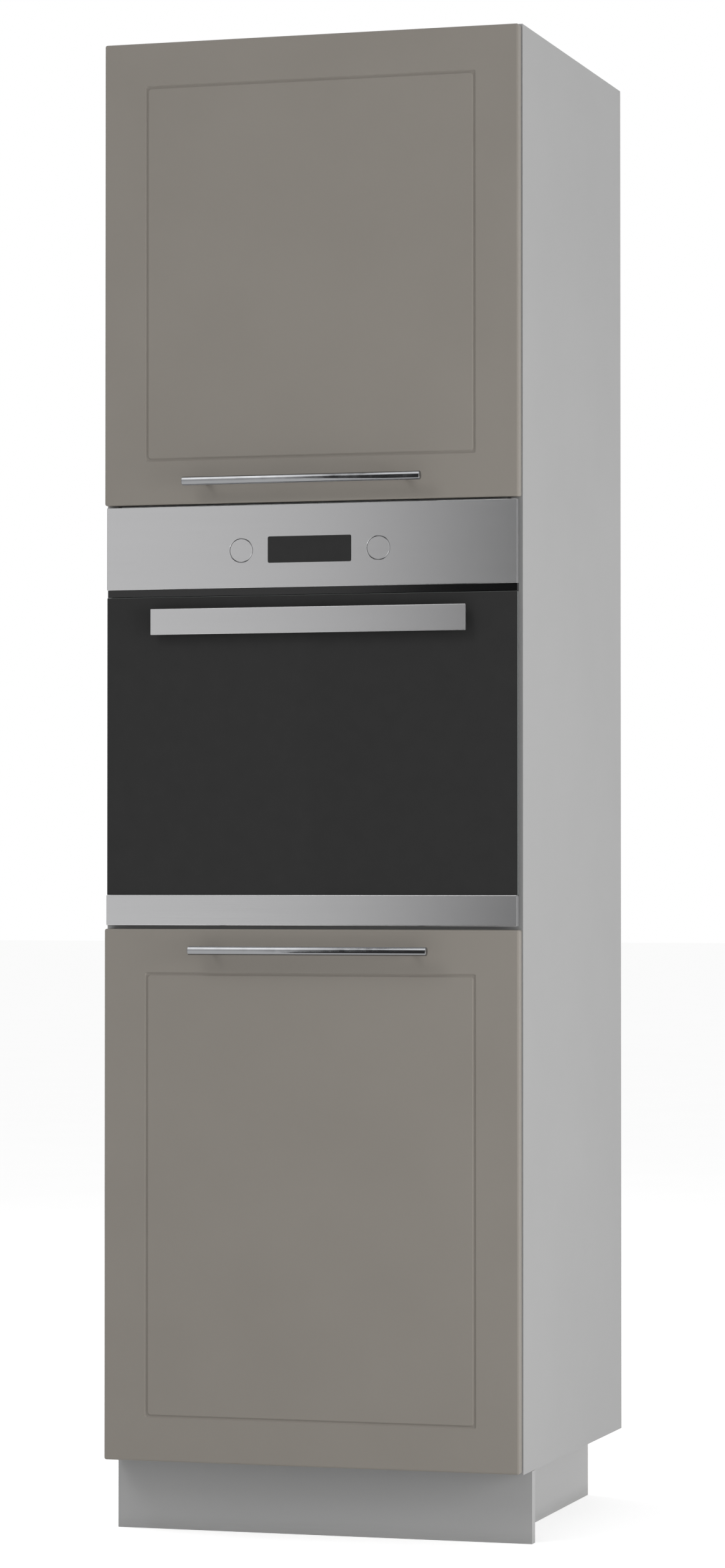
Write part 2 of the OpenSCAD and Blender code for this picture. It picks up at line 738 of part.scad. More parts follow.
module shelf_runners() {
    upright_y = [44, 376];
    color(chrome) placed() both_sides() {
        for (z = runner_z) slab(runner_x, runner_y, [z - 2, z]);
        for (y = upright_y) {
            rod_z(runner_x[1], y, [runner_z[0] - 20, runner_z[3] + 20], rod_d - 0.5);
            for (z = [runner_z[0] - 12, runner_z[3] + 12]) rod_x([runner_x[1], cavity_half], y, z, 4);
        }
    }
}

module wire_rack() {
    z = runner_z[2] + 3;
    rods = 13;
    edge_in = 6;
    side_x = tray_half - 1;
    ends = [runner_y[0] + 3, runner_y[1] - 3];
    pitch = (ends[1] - ends[0] - 2 * edge_in) / (rods - 1);
    color(chrome) placed() {
        for (s = [-1, 1]) rod_y(s * side_x, ends, z, 6);
        for (k = [0:rods - 1]) rod_x([-side_x, side_x], ends[0] + edge_in + k * pitch, z, 4);
    }
}

module baking_tray() {
    z = runner_z[0];
    deep = 28;
    rim = 9;
    wall = 1.2;
    ends = [runner_y[0] + 4, runner_y[1] - 4];
    color("#2f3033") placed() difference() {
        union() {
            slab([-tray_half, tray_half], ends, [z, z + wall]);
            slab([-tray_half + rim, tray_half - rim], [ends[0] + rim, ends[1] - rim], [z - deep, z + wall]);
        }
        slab([-tray_half + rim + wall, tray_half - rim - wall], [ends[0] + rim + wall, ends[1] - rim - wall],
            [z - deep + wall, z + wall + eps]);
    }
}

// A grill of straight runs joined by half rings, and a ring around the fan.
module heating_elements() {
    tube_d = 6.5;
    run = 170;
    pitch = 56;
    runs = 6;
    first_y = 70;
    last_y = first_y + (runs - 1) * pitch;
    ring_y = 417;
    ring_r = 96;
    tail_half = 4.5;
    z = cavity_z[1] - 16;
    color("#4a4644") placed() {
        union() {
            for (k = [0:runs - 1]) rod_x([-run - 1, run + 1], first_y + k * pitch, z, tube_d);
            for (k = [0:runs - 2]) {
                s = k % 2 == 0 ? 1 : -1;
                translate([s * run, first_y + (k + 0.5) * pitch, z]) rotate([0, 0, s > 0 ? -90 : 90])
                    rotate_extrude(angle = 180) translate([pitch / 2, 0]) circle(d = tube_d - 0.3);
            }
            both_sides() slab([60 - tail_half, 60 + tail_half], [last_y - tail_half, cavity_deep],
                [z - tail_half, z + tail_half]);
        }
        union() {
            translate([0, ring_y, fan_z]) rotate([90, 0, 0])
                rotate_extrude() translate([ring_r, 0]) circle(d = tube_d);
            for (s = [-1, 1]) rod_y(s * ring_r, [ring_y, cavity_deep], fan_z, tube_d - 1);
        }
    }
}

module fan_cover() {
    half = 122;
    face_y = 400;
    wall = 1.2;
    color("#3a3d42") placed() difference() {
        slab([-half, half], [face_y, cavity_deep], [fan_z - half, fan_z + half]);
        slab([-half + wall, half - wall], [face_y + wall, cavity_deep + eps], [fan_z - half + wall, fan_z + half - wall]);
        rod_y(0, [face_y - eps, face_y + wall + eps], fan_z, 14);
        for (ring = [1, 2], k = [0:6 * ring - 1])
            rod_y(ring * 24 * cos(k * 60 / ring), [face_y - eps, face_y + wall + eps],
                fan_z + ring * 24 * sin(k * 60 / ring), 14);
        both_sides() for (k = [-2:2])
            slab([half - wall - eps, half + eps], [face_y + 8, cavity_deep - 8], [fan_z + k * 40 - 12, fan_z + k * 40 + 12]);
    }
}

module fan_impeller() {
    blades = 8;
    color(steel) placed() {
        rod_y(0, [410, 426], fan_z, 22);
        difference() {
            rod_y(0, [424.5, 426], fan_z, 140);
            rod_y(0, [424, 427], fan_z, 21);
        }
        for (k = [0:blades - 1]) translate([0, 0, fan_z]) rotate([0, k * 360 / blades, 0])
            slab([44, 68], [412, 424.6], [-0.7, 0.7]);
        rod_y(0, [426, 470], fan_z, 8);
    }
}

module fan_motor() {
    color(zinc) placed() difference() {
        union() {
            rod_y(0, [445, 492], fan_z, 70);
            slab([-58, 58], [443, 445], [fan_z - 18, fan_z + 18]);
            both_sides() rod_y(50, [cavity_deep + casing_t, 443], fan_z, 8);
        }
        rod_y(0, [443 - eps, 471], fan_z, 8.1);
    }
}

module oven_lamp() {
    color("#dcdcd4") placed() {
        rod_y(170, [cavity_deep - 4, cavity_deep], cavity_z[1] - 45, 46);
        rod_y(170, [cavity_deep - 12, cavity_deep - 4], cavity_z[1] - 45, 36);
    }
}

left_side_panel();
right_side_panel();
bottom_panel();
top_panel();
oven_shelf();
upper_fixed_shelf();
lower_shelf();
upper_shelf();
shelf_pins();
lower_back_panel();
upper_back_panel();
wall_rail();
cam_fittings();
plinth_front();
plinth_sides();
plinth_clips();
leg_sockets();
leg_feet();
hinge_plates();
hinge_arms();
lower_hinge_links();
lower_hinge_cups();
lower_door();
lower_pull();
upper_hinge_links();
upper_hinge_cups();
upper_door();
upper_pull();
door_bumpers();
oven_casing();
oven_insulation();
oven_cavity();
front_frame();
door_gasket();
control_fascia();
control_housing();
display_window();
control_board();
left_spindle();
right_spindle();
left_knob();
right_knob();
oven_hinge_brackets();
oven_hinge_blocks();
oven_door_glass();
oven_door_pan();
inner_glass();
oven_door_trim();
oven_handle();
shelf_runners();
wire_rack();
baking_tray();
heating_elements();
fan_cover();
fan_impeller();
fan_motor();
oven_lamp();
terminal_box();
oven_screws();
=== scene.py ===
# %% [markdown]
# # A tall oven housing unit
# This lesson dresses a fitted kitchen unit: a grey board carcass on a plinth, a side-hung door
# below, an oven in the middle, and a second side-hung door above. The solids and their joints come
# from the CAD frame, which is never moved or reshaped here. What is made here is the finish of
# every surface, the small parts that repeat, such as screws, and the studio that it stands in. All
# sizes are in metres, +Z is up, and the front looks along -Y.

import json
import math

import bmesh
import bpy
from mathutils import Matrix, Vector


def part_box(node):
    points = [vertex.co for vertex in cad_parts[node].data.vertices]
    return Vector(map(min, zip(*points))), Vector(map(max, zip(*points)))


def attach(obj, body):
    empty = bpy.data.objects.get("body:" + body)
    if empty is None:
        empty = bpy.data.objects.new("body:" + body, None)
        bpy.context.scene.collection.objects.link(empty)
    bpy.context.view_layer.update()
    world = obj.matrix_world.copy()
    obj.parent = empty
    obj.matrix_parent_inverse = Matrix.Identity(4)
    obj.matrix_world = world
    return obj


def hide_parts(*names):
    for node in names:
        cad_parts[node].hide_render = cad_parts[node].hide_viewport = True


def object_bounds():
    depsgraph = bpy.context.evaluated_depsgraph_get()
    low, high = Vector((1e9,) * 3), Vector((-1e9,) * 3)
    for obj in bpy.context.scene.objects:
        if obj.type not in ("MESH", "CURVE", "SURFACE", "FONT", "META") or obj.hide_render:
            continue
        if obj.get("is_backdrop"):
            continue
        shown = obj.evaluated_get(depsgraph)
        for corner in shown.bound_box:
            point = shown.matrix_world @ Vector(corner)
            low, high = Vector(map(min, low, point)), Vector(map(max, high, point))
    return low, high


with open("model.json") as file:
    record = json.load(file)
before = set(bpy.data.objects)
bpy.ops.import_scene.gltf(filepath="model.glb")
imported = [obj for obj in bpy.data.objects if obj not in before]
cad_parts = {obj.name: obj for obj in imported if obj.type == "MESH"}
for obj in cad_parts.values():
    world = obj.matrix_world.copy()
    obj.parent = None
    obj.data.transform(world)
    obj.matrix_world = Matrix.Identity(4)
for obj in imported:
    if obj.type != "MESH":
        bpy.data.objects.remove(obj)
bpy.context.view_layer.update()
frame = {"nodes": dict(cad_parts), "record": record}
nodes, record = frame["nodes"], frame["record"]

# %% [markdown]
# The part's drawing counts depth from the front edge of the carcass, in millimetres, while the
# frame counts it in metres from the middle of the whole depth. One small function goes from the
# first to the second, so a place can be written as a joiner would measure it.

# %% Places in millimetres from the carcass's front edge
FRONT_TO_MIDDLE = 259.125


def at(x, y, z):
    """A place in the frame, from millimetres across, behind the front edge and above the floor."""
    return Vector((x / 1000, (y - FRONT_TO_MIDDLE) / 1000, z / 1000))


glass_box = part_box("oven_door_glass")
print("the oven door's glass spans", [round(v, 4) for corner in glass_box for v in corner])

# %% [markdown]
# The camera stands 6.7 m away, a little to the right, at the height of a table. A long lens keeps
# the tall sides almost parallel. The lens shift does what a view camera's rising front does: it
# moves the picture up without tilting the camera, so the uprights don't lean.

# %% Camera
camera = bpy.data.objects.new("camera", bpy.data.cameras.new("camera"))
bpy.context.scene.collection.objects.link(camera)
bpy.context.scene.camera = camera
camera.location = (1.911, -6.400225, 0.9075)
camera.rotation_euler = (math.radians(90.974), 0, math.radians(16.722))
camera.data.lens = 106.994
camera.data.sensor_width = 36
camera.data.shift_x = 0.00262
camera.data.shift_y = 0.0111
camera.data.clip_end = 100
print("camera", round(camera.location.length, 3), "m from the middle of the floor plan")

# %% [markdown]
# Every material below is built from nodes in the same way. One function adds any node: its settings
# are the node's own options, and its links give each input either a plain value or another node's
# output. A second one starts a material and sets what is the same all over it straight on the
# shader. Colours are written as they look on a screen and turned into the linear values that light
# is reckoned in.

# %% Helpers for materials
def linear(code):
    """Turns a screen colour such as #8b867f into linear red, green, blue and alpha."""
    screen = [int(code[i:i + 2], 16) / 255 for i in (1, 3, 5)]
    light = [c / 12.92 if c <= 0.04045 else ((c + 0.055) / 1.055) ** 2.4 for c in screen]
    return tuple(light) + (1.0,)


def add(tree, kind, links=(), **settings):
    """Adds one node with its settings, and gives its inputs values or other nodes' outputs."""
    made = tree.nodes.new(kind)
    for key, value in settings.items():
        setattr(made, key, value)
    for key, value in dict(links).items():
        if isinstance(value, bpy.types.NodeSocket):
            tree.links.new(value, made.inputs[key])
        else:
            made.inputs[key].default_value = value
    return made


def start(name, constants):
    """A new material: returns it, its tree, its shader and the piece's own coordinates."""
    made = bpy.data.materials.new(name)
    made.use_nodes = True
    shader = made.node_tree.nodes["Principled BSDF"]
    for key, value in constants.items():
        shader.inputs[key].default_value = value
    return made, made.node_tree, shader, add(made.node_tree, "ShaderNodeTexCoord").outputs


def join(tree, shader, **outputs):
    """Links patterns to the shader's inputs, with _ for a space in an input's name."""
    for key, value in outputs.items():
        tree.links.new(value, shader.inputs[key.replace("_", " ")])


print("the screen grey #808080 is", round(linear("#808080")[0], 3), "in linear light")

# %% [markdown]
# **Melamine-faced chipboard.** The carcass is chipboard pressed between two sheets of resin-soaked
# paper. The paper is printed a plain light grey, and the press plate leaves a fine pearl texture
# about a millimetre across, which takes the mirror off the surface. The edge at the back of each
# side is left raw, so the tan chips show there: that mask is the piece's own normal, which turns
# with the piece.

# %% Light grey melamine board
finishes = {}
PEARLS_PER_METRE = 900
FACES_BACK = 0.9  # the back looks along +Y
board, tree, shader, place = start("light grey melamine board", {"Specular IOR Level": 0.42})
pearl = add(tree, "ShaderNodeTexNoise", {
    "Vector": place["Object"], "Scale": PEARLS_PER_METRE, "Detail": 2})
cloud = add(tree, "ShaderNodeTexNoise", {"Vector": place["Object"], "Scale": 5, "Detail": 3})
tone = add(tree, "ShaderNodeMath", {
    0: pearl.outputs["Fac"], 1: cloud.outputs["Fac"]}, operation="MULTIPLY")
paper = add(tree, "ShaderNodeMapRange", {
    "Value": tone.outputs[0], "From Min": 0.12, "From Max": 0.4})
paper_colour = add(tree, "ShaderNodeMix", {
    0: paper.outputs[0], 6: linear("#989898"), 7: linear("#9c9c9c")}, data_type="RGBA")
chips = add(tree, "ShaderNodeTexVoronoi", {
    "Vector": place["Object"], "Scale": 420, "Randomness": 1})
chip_tone = add(tree, "ShaderNodeSeparateColor", {"Color": chips.outputs["Color"]})
chip_colour = add(tree, "ShaderNodeMix", {
    0: chip_tone.outputs[0], 6: linear("#8a6a42"), 7: linear("#d2b184")}, data_type="RGBA")
facing = add(tree, "ShaderNodeSeparateXYZ", {"Vector": place["Normal"]})
raw = add(tree, "ShaderNodeMath", {0: facing.outputs["Y"], 1: FACES_BACK}, operation="GREATER_THAN")
skin = add(tree, "ShaderNodeMix", {
    0: raw.outputs[0], 6: paper_colour.outputs[2], 7: chip_colour.outputs[2]}, data_type="RGBA")
gloss = add(tree, "ShaderNodeMapRange", {
    "Value": pearl.outputs["Fac"], "To Min": 0.4, "To Max": 0.56})
dimple = add(tree, "ShaderNodeBump", {
    "Height": pearl.outputs["Fac"], "Strength": 0.12, "Distance": 0.0004})
join(tree, shader, Base_Color=skin.outputs[2], Roughness=gloss.outputs[0], Normal=dimple.outputs[0])
finishes["laminate_grey"] = board
print("melamine: pearl cells of", round(1000 / PEARLS_PER_METRE, 1), "mm")

# %% [markdown]
# **Matt lacquered doors.** Each door is a fibreboard with a groove milled round it, sprayed with a
# warm grey matt lacquer. Spray leaves two things: a faint orange peel about 3 mm across, and a slow
# drift in tone over a hand's width. Both are kept weak, because a good door only shows them where
# light grazes it.

# %% Warm grey matt lacquer
PEELS_PER_METRE, DRIFTS_PER_METRE = 330, 9
lacquer, tree, shader, place = start("warm grey matt lacquer", {"Specular IOR Level": 0.4})
peel = add(tree, "ShaderNodeTexNoise", {
    "Vector": place["Object"], "Scale": PEELS_PER_METRE, "Detail": 1})
drift = add(tree, "ShaderNodeTexNoise", {
    "Vector": place["Object"], "Scale": DRIFTS_PER_METRE, "Detail": 2, "Roughness": 0.4})
shade = add(tree, "ShaderNodeMapRange", {
    "Value": drift.outputs["Fac"], "From Min": 0.3, "From Max": 0.7})
coat_colour = add(tree, "ShaderNodeMix", {
    0: shade.outputs[0], 6: linear("#86817a"), 7: linear("#88837c")}, data_type="RGBA")
matt = add(tree, "ShaderNodeMapRange", {
    "Value": peel.outputs["Fac"], "To Min": 0.46, "To Max": 0.6})
skin_relief = add(tree, "ShaderNodeBump", {
    "Height": peel.outputs["Fac"], "Strength": 0.1, "Distance": 0.0003})
join(tree, shader, Base_Color=coat_colour.outputs[2], Roughness=matt.outputs[0],
     Normal=skin_relief.outputs[0])
finishes["door_lacquer"] = lacquer
print("lacquer: orange peel of", round(1000 / PEELS_PER_METRE, 1), "mm, drift of",
      round(1000 / DRIFTS_PER_METRE), "mm")

# %% [markdown]
# **Plinth board.** The plinth is the same melamine board in a slightly darker grey. It stands where
# feet and mops reach it, so its lowest 20 mm are a little dulled by fine scuffs.

# %% Mid grey plinth board
SCUFFED_UP_TO = 0.02
plinth, tree, shader, place = start("mid grey plinth board", {"Specular IOR Level": 0.42})
pearl = add(tree, "ShaderNodeTexNoise", {
    "Vector": place["Object"], "Scale": PEARLS_PER_METRE, "Detail": 2})
height = add(tree, "ShaderNodeSeparateXYZ", {"Vector": place["Object"]})
low = add(tree, "ShaderNodeMapRange", {
    "Value": height.outputs["Z"], "From Max": SCUFFED_UP_TO, "To Min": 1, "To Max": 0})
streak_place = add(tree, "ShaderNodeMapping", {"Vector": place["Object"], "Scale": (20, 20, 260)})
scuff = add(tree, "ShaderNodeTexNoise", {
    "Vector": streak_place.outputs[0], "Scale": 1, "Detail": 4})
worn = add(tree, "ShaderNodeMath", {
    0: low.outputs[0], 1: scuff.outputs["Fac"]}, operation="MULTIPLY")
plinth_colour = add(tree, "ShaderNodeMix", {
    0: worn.outputs[0], 6: linear("#a2a2a2"), 7: linear("#979796")}, data_type="RGBA")
gloss = add(tree, "ShaderNodeMapRange", {"Value": worn.outputs[0], "To Min": 0.44, "To Max": 0.62})
dimple = add(tree, "ShaderNodeBump", {
    "Height": pearl.outputs["Fac"], "Strength": 0.12, "Distance": 0.0004})
join(tree, shader, Base_Color=plinth_colour.outputs[2], Roughness=gloss.outputs[0],
     Normal=dimple.outputs[0])
finishes["plinth_grey"] = plinth
print("plinth: scuffed up to", round(SCUFFED_UP_TO * 1000), "mm from the floor")

# %% [markdown]
# **Thin hardboard backs.** The backs are 3 mm hardboard, painted light grey on the face that is
# seen inside and left as a brown mesh-marked sheet behind. The same trick with the piece's own
# normal tells the two faces apart.

# %% Hardboard back
FIBRES_ACROSS, FIBRES_ALONG = 260, 90  # in a metre
hardboard, tree, shader, place = start("hardboard, painted inside", {"Specular IOR Level": 0.35})
fibre_place = add(tree, "ShaderNodeMapping", {
    "Vector": place["Object"], "Scale": (FIBRES_ACROSS, FIBRES_ACROSS, FIBRES_ALONG)})
fibre = add(tree, "ShaderNodeTexNoise", {
    "Vector": fibre_place.outputs[0], "Scale": 1, "Detail": 5, "Distortion": 0.6})
brown = add(tree, "ShaderNodeMix", {
    0: fibre.outputs["Fac"], 6: linear("#6f5236"), 7: linear("#9a7a55")}, data_type="RGBA")
paint = add(tree, "ShaderNodeMix", {
    0: fibre.outputs["Fac"], 6: linear("#b3b2af"), 7: linear("#bbbab7")}, data_type="RGBA")
facing = add(tree, "ShaderNodeSeparateXYZ", {"Vector": place["Normal"]})
behind = add(tree, "ShaderNodeMath", {0: facing.outputs["Y"], 1: 0.5}, operation="GREATER_THAN")
sheet = add(tree, "ShaderNodeMix", {
    0: behind.outputs[0], 6: paint.outputs[2], 7: brown.outputs[2]}, data_type="RGBA")
dull = add(tree, "ShaderNodeMapRange", {
    "Value": fibre.outputs["Fac"], "To Min": 0.5, "To Max": 0.75})
relief = add(tree, "ShaderNodeBump", {
    "Height": fibre.outputs["Fac"], "Strength": 0.2, "Distance": 0.0005})
join(tree, shader, Base_Color=sheet.outputs[2], Roughness=dull.outputs[0], Normal=relief.outputs[0])
finishes["back_board"] = hardboard
print("hardboard: fibres about", round(1000 / FIBRES_ALONG), "mm long")

# %% [markdown]
# **Brushed stainless steel.** The control panel, the strip under the glass and the handle are sheet
# that was drawn past an abrasive belt. The belt leaves scratches a few hundredths of a millimetre
# wide and many millimetres long, all level, so reflections stay sharp from side to side and smear
# up and down. A noise that is stretched along X gives that through the bump, and a second, coarser
# one makes the few scratches that the eye can pick out. The scratches are drawn about 0.7 mm apart,
# which is coarser than real, so that they show at all.

# %% Brushed stainless steel
HAIRS_ALONG, HAIRS_ACROSS = 6, 1500  # fine scratches in a metre
LINES_ALONG, LINES_ACROSS = 2.5, 220  # the few that show
brushed, tree, shader, place = start("brushed stainless steel", {"Metallic": 1.0})
hair_place = add(tree, "ShaderNodeMapping", {
    "Vector": place["Object"], "Scale": (HAIRS_ALONG, HAIRS_ACROSS, HAIRS_ACROSS)})
hair = add(tree, "ShaderNodeTexNoise", {"Vector": hair_place.outputs[0], "Scale": 1, "Detail": 3})
line_place = add(tree, "ShaderNodeMapping", {
    "Vector": place["Object"], "Scale": (LINES_ALONG, LINES_ACROSS, LINES_ACROSS)})
line = add(tree, "ShaderNodeTexNoise", {
    "Vector": line_place.outputs[0], "Scale": 1, "Detail": 6, "Roughness": 0.7})
steel_tone = add(tree, "ShaderNodeMapRange", {
    "Value": line.outputs["Fac"], "From Min": 0.3, "From Max": 0.7})
steel_colour = add(tree, "ShaderNodeMix", {
    0: steel_tone.outputs[0], 6: linear("#b9b9ba"), 7: linear("#bbbbbc")}, data_type="RGBA")
steel_gloss = add(tree, "ShaderNodeMapRange", {
    "Value": hair.outputs["Fac"], "To Min": 0.13, "To Max": 0.17})
print("steel: scratches", round(1000 / HAIRS_ALONG), "mm long and",
      round(1000 / HAIRS_ACROSS, 1), "mm apart")

# %% [markdown]
# Thin sheet is never quite flat. A bump under the scratches bows it by up to a degree, which slides
# what it mirrors a little to one side. The short edges left and right are cut across the scratches,
# so they are rougher. They are also painted a darker grey, which is painted shade that takes the
# highlight off them. The sheet's own normal is the mask there, and the distance from the middle
# keeps it off the knobs.

# %% The steel's bow, and its cut edges with painted shade
LEVEL_LEFT_OF_MIDDLE = 1.11  # where the bowed sheet would be level
BOW = 0.0065  # how much it bows
EDGES_BEYOND = 0.2  # no edge is dulled nearer to the middle, where the knobs are
across = add(tree, "ShaderNodeSeparateXYZ", {"Vector": place["Object"]})
from_left = add(tree, "ShaderNodeMath", {
    0: across.outputs["X"], 1: LEVEL_LEFT_OF_MIDDLE}, operation="ADD")
squared = add(tree, "ShaderNodeMath", {0: from_left.outputs[0], 1: 2.0}, operation="POWER")
bow = add(tree, "ShaderNodeBump", {"Height": squared.outputs[0], "Strength": 1.0, "Distance": BOW})
scratch = add(tree, "ShaderNodeBump", {
    "Height": hair.outputs["Fac"], "Strength": 0.03, "Distance": 0.0002, "Normal": bow.outputs[0]})
facing = add(tree, "ShaderNodeSeparateXYZ", {"Vector": place["Normal"]})
side_on = add(tree, "ShaderNodeMath", {0: facing.outputs["X"]}, operation="ABSOLUTE")
leaning = add(tree, "ShaderNodeMapRange", {
    "Value": side_on.outputs[0], "From Min": 0.1, "From Max": 0.5})
from_middle = add(tree, "ShaderNodeMath", {0: across.outputs["X"]}, operation="ABSOLUTE")
at_an_end = add(tree, "ShaderNodeMath", {
    0: from_middle.outputs[0], 1: EDGES_BEYOND}, operation="GREATER_THAN")
rough_and_shaded_end = add(tree, "ShaderNodeMath", {
    0: leaning.outputs[0], 1: at_an_end.outputs[0]}, operation="MULTIPLY")
# The end edges' darker grey is painted shade, which takes the highlight off them; their higher
# roughness is the cut.
end_painted_shade_colour = add(tree, "ShaderNodeMix", {
    0: rough_and_shaded_end.outputs[0], 6: steel_colour.outputs[2], 7: linear("#8a8a8b")}, data_type="RGBA")
edged_gloss = add(tree, "ShaderNodeMix", {
    0: rough_and_shaded_end.outputs[0], 2: steel_gloss.outputs[0], 3: 0.45}, data_type="FLOAT")
join(tree, shader, Base_Color=end_painted_shade_colour.outputs[2], Roughness=edged_gloss.outputs[0],
     Normal=scratch.outputs[0])
finishes["brushed_steel"] = brushed
middle_lean = math.degrees(2 * BOW * LEVEL_LEFT_OF_MIDDLE)
print("steel: the sheet leans", round(middle_lean, 2), "degrees in its middle")

# %% [markdown]
# **Chrome plating.** The bar pulls and the rack are polished and plated, so they are mirrors. All
# their look is what they reflect. A faint noise in the roughness stands for the marks of fingers
# and cloths.

# %% Chrome
CLEAN, SMEARED = 0.04, 0.1
chrome, tree, shader, place = start("polished chrome plating", {
    "Metallic": 1.0, "Base Color": linear("#8d8e90")})
smear = add(tree, "ShaderNodeTexNoise", {"Vector": place["Object"], "Scale": 60, "Detail": 3})
polish = add(tree, "ShaderNodeMapRange", {
    "Value": smear.outputs["Fac"], "From Min": 0.35, "From Max": 0.7, "To Min": CLEAN,
    "To Max": SMEARED})
join(tree, shader, Roughness=polish.outputs[0])
finishes["chrome"] = chrome
print("chrome: roughness", CLEAN, "to", SMEARED)

# %% [markdown]
# **Zinc plated steel.** Hinges, cam fittings and the oven's outer casing are steel with a thin zinc
# coat. It is a soft grey metal with patches that differ a little in tone, about a centimetre
# across.

# %% Zinc plated steel
PATCHES_PER_METRE = 90
zinc, tree, shader, place = start("zinc plated steel", {"Metallic": 1.0})
patch = add(tree, "ShaderNodeTexVoronoi", {
    "Vector": place["Object"], "Scale": PATCHES_PER_METRE, "Randomness": 1})
patch_tone = add(tree, "ShaderNodeSeparateColor", {"Color": patch.outputs["Color"]})
zinc_colour = add(tree, "ShaderNodeMix", {
    0: patch_tone.outputs[0], 6: linear("#a3a6a8"), 7: linear("#b4b6b7")}, data_type="RGBA")
zinc_gloss = add(tree, "ShaderNodeMapRange", {
    "Value": patch_tone.outputs[1], "To Min": 0.3, "To Max": 0.42})
join(tree, shader, Base_Color=zinc_colour.outputs[2], Roughness=zinc_gloss.outputs[0])
finishes["zinc"] = zinc
print("zinc: patches of about", round(1000 / PATCHES_PER_METRE), "mm")

# %% [markdown]
# **Black enamel.** The frame behind the oven door is sheet steel with a gloss black glass coat. It
# has almost no colour of its own, so what shows in the slot over the glass is a dim reflection of
# the studio.

# %% Gloss black enamel
RIPPLES_PER_METRE = 160
enamel, tree, shader, place = start("gloss black enamel", {"Specular IOR Level": 0.5})
ripple = add(tree, "ShaderNodeTexNoise", {
    "Vector": place["Object"], "Scale": RIPPLES_PER_METRE, "Detail": 1})
depth = add(tree, "ShaderNodeMix", {
    0: ripple.outputs["Fac"], 6: linear("#060607"), 7: linear("#0a0a0b")}, data_type="RGBA")
shine = add(tree, "ShaderNodeMapRange", {
    "Value": ripple.outputs["Fac"], "To Min": 0.06, "To Max": 0.14})
wave = add(tree, "ShaderNodeBump", {
    "Height": ripple.outputs["Fac"], "Strength": 0.05, "Distance": 0.0003})
join(tree, shader, Base_Color=depth.outputs[2], Roughness=shine.outputs[0], Normal=wave.outputs[0])
finishes["black_enamel"] = enamel
print("enamel: ripples of", round(1000 / RIPPLES_PER_METRE), "mm")

# %% [markdown]
# **Speckled oven enamel.** Inside, the oven is lined with a dark blue-grey enamel with fine pale
# specks, which hide splashes. The specks are the centres of small random cells, so each is a dot of
# its own size.

# %% Speckled dark enamel
CELLS_PER_METRE = 330
speckled, tree, shader, place = start("speckled dark oven enamel", {"Specular IOR Level": 0.5})
cells = add(tree, "ShaderNodeTexVoronoi", {
    "Vector": place["Object"], "Scale": CELLS_PER_METRE, "Randomness": 1})
speck_size = add(tree, "ShaderNodeSeparateColor", {"Color": cells.outputs["Color"]})
limit = add(tree, "ShaderNodeMapRange", {
    "Value": speck_size.outputs[0], "To Min": -0.1, "To Max": 0.22})
speck = add(tree, "ShaderNodeMath", {
    0: cells.outputs["Distance"], 1: limit.outputs[0]}, operation="LESS_THAN")
liner_colour = add(tree, "ShaderNodeMix", {
    0: speck.outputs[0], 6: linear("#2b2f35"), 7: linear("#8b9096")}, data_type="RGBA")
cloud = add(tree, "ShaderNodeTexNoise", {"Vector": place["Object"], "Scale": 30, "Detail": 3})
liner_gloss = add(tree, "ShaderNodeMapRange", {
    "Value": cloud.outputs["Fac"], "To Min": 0.18, "To Max": 0.34})
join(tree, shader, Base_Color=liner_colour.outputs[2], Roughness=liner_gloss.outputs[0])
finishes["dark_enamel"] = speckled
print("oven enamel: cells of", round(1000 / CELLS_PER_METRE), "mm")

# %% [markdown]
# ** Dark tinted glass.** The oven door and the display are toughened glass, printed black from behind, so they read as an even charcoal that reflects softly. The edges are paler than the face: partly the colour of ground glass, and partly a painted highlight, which draws a light line round the door. That mask is again the piece's own normal: anything that doesn't face the front is edge.

# %% Dark tinted glass
EDGE_LEAN = 0.3
glass, tree, shader, place = start("dark tinted glass", {
    "Specular IOR Level": 0.06, "Coat Weight": 0.03, "Coat Roughness": 0.03})
facing = add(tree, "ShaderNodeSeparateXYZ", {"Vector": place["Normal"]})
side_on = add(tree, "ShaderNodeMath", {0: facing.outputs["X"]}, operation="ABSOLUTE")
up_on = add(tree, "ShaderNodeMath", {0: facing.outputs["Z"]}, operation="ABSOLUTE")
edge = add(tree, "ShaderNodeMath", {
    0: side_on.outputs[0], 1: up_on.outputs[0]}, operation="MAXIMUM")
ground_edge_and_highlight = add(tree, "ShaderNodeMapRange", {
    "Value": edge.outputs[0], "From Min": EDGE_LEAN, "From Max": 0.8})
print_tone = add(tree, "ShaderNodeTexNoise", {"Vector": place["Object"], "Scale": 40, "Detail": 3})
face = add(tree, "ShaderNodeMix", {
    0: print_tone.outputs["Fac"], 6: linear("#303030"), 7: linear("#343434")}, data_type="RGBA")
# The pale edge colour is partly ground glass and partly a painted highlight.
glass_colour = add(tree, "ShaderNodeMix", {
    0: ground_edge_and_highlight.outputs[0], 6: face.outputs[2], 7: linear("#6c706f")}, data_type="RGBA")
glass_gloss = add(tree, "ShaderNodeMapRange", {
    "Value": ground_edge_and_highlight.outputs[0], "To Min": 0.3, "To Max": 0.5})
join(tree, shader, Base_Color=glass_colour.outputs[2], Roughness=glass_gloss.outputs[0])
finishes["black_glass"] = glass
print("glass: an edge is where the normal leans more than",
      round(math.degrees(math.asin(EDGE_LEAN))), "degrees")

# %% [markdown]
# **Moulded black plastic.** The feet, their sockets and the control housing are injection moulded
# polypropylene with a spark-eroded grain, half a millimetre across. The mould is polished only
# where the housing faces the room, as the thin black line over the oven's glass, so there the
# plastic is a dark mirror. The piece's own normal is the mask. The same slight lean as the steel's
# keeps the two reflections in step.

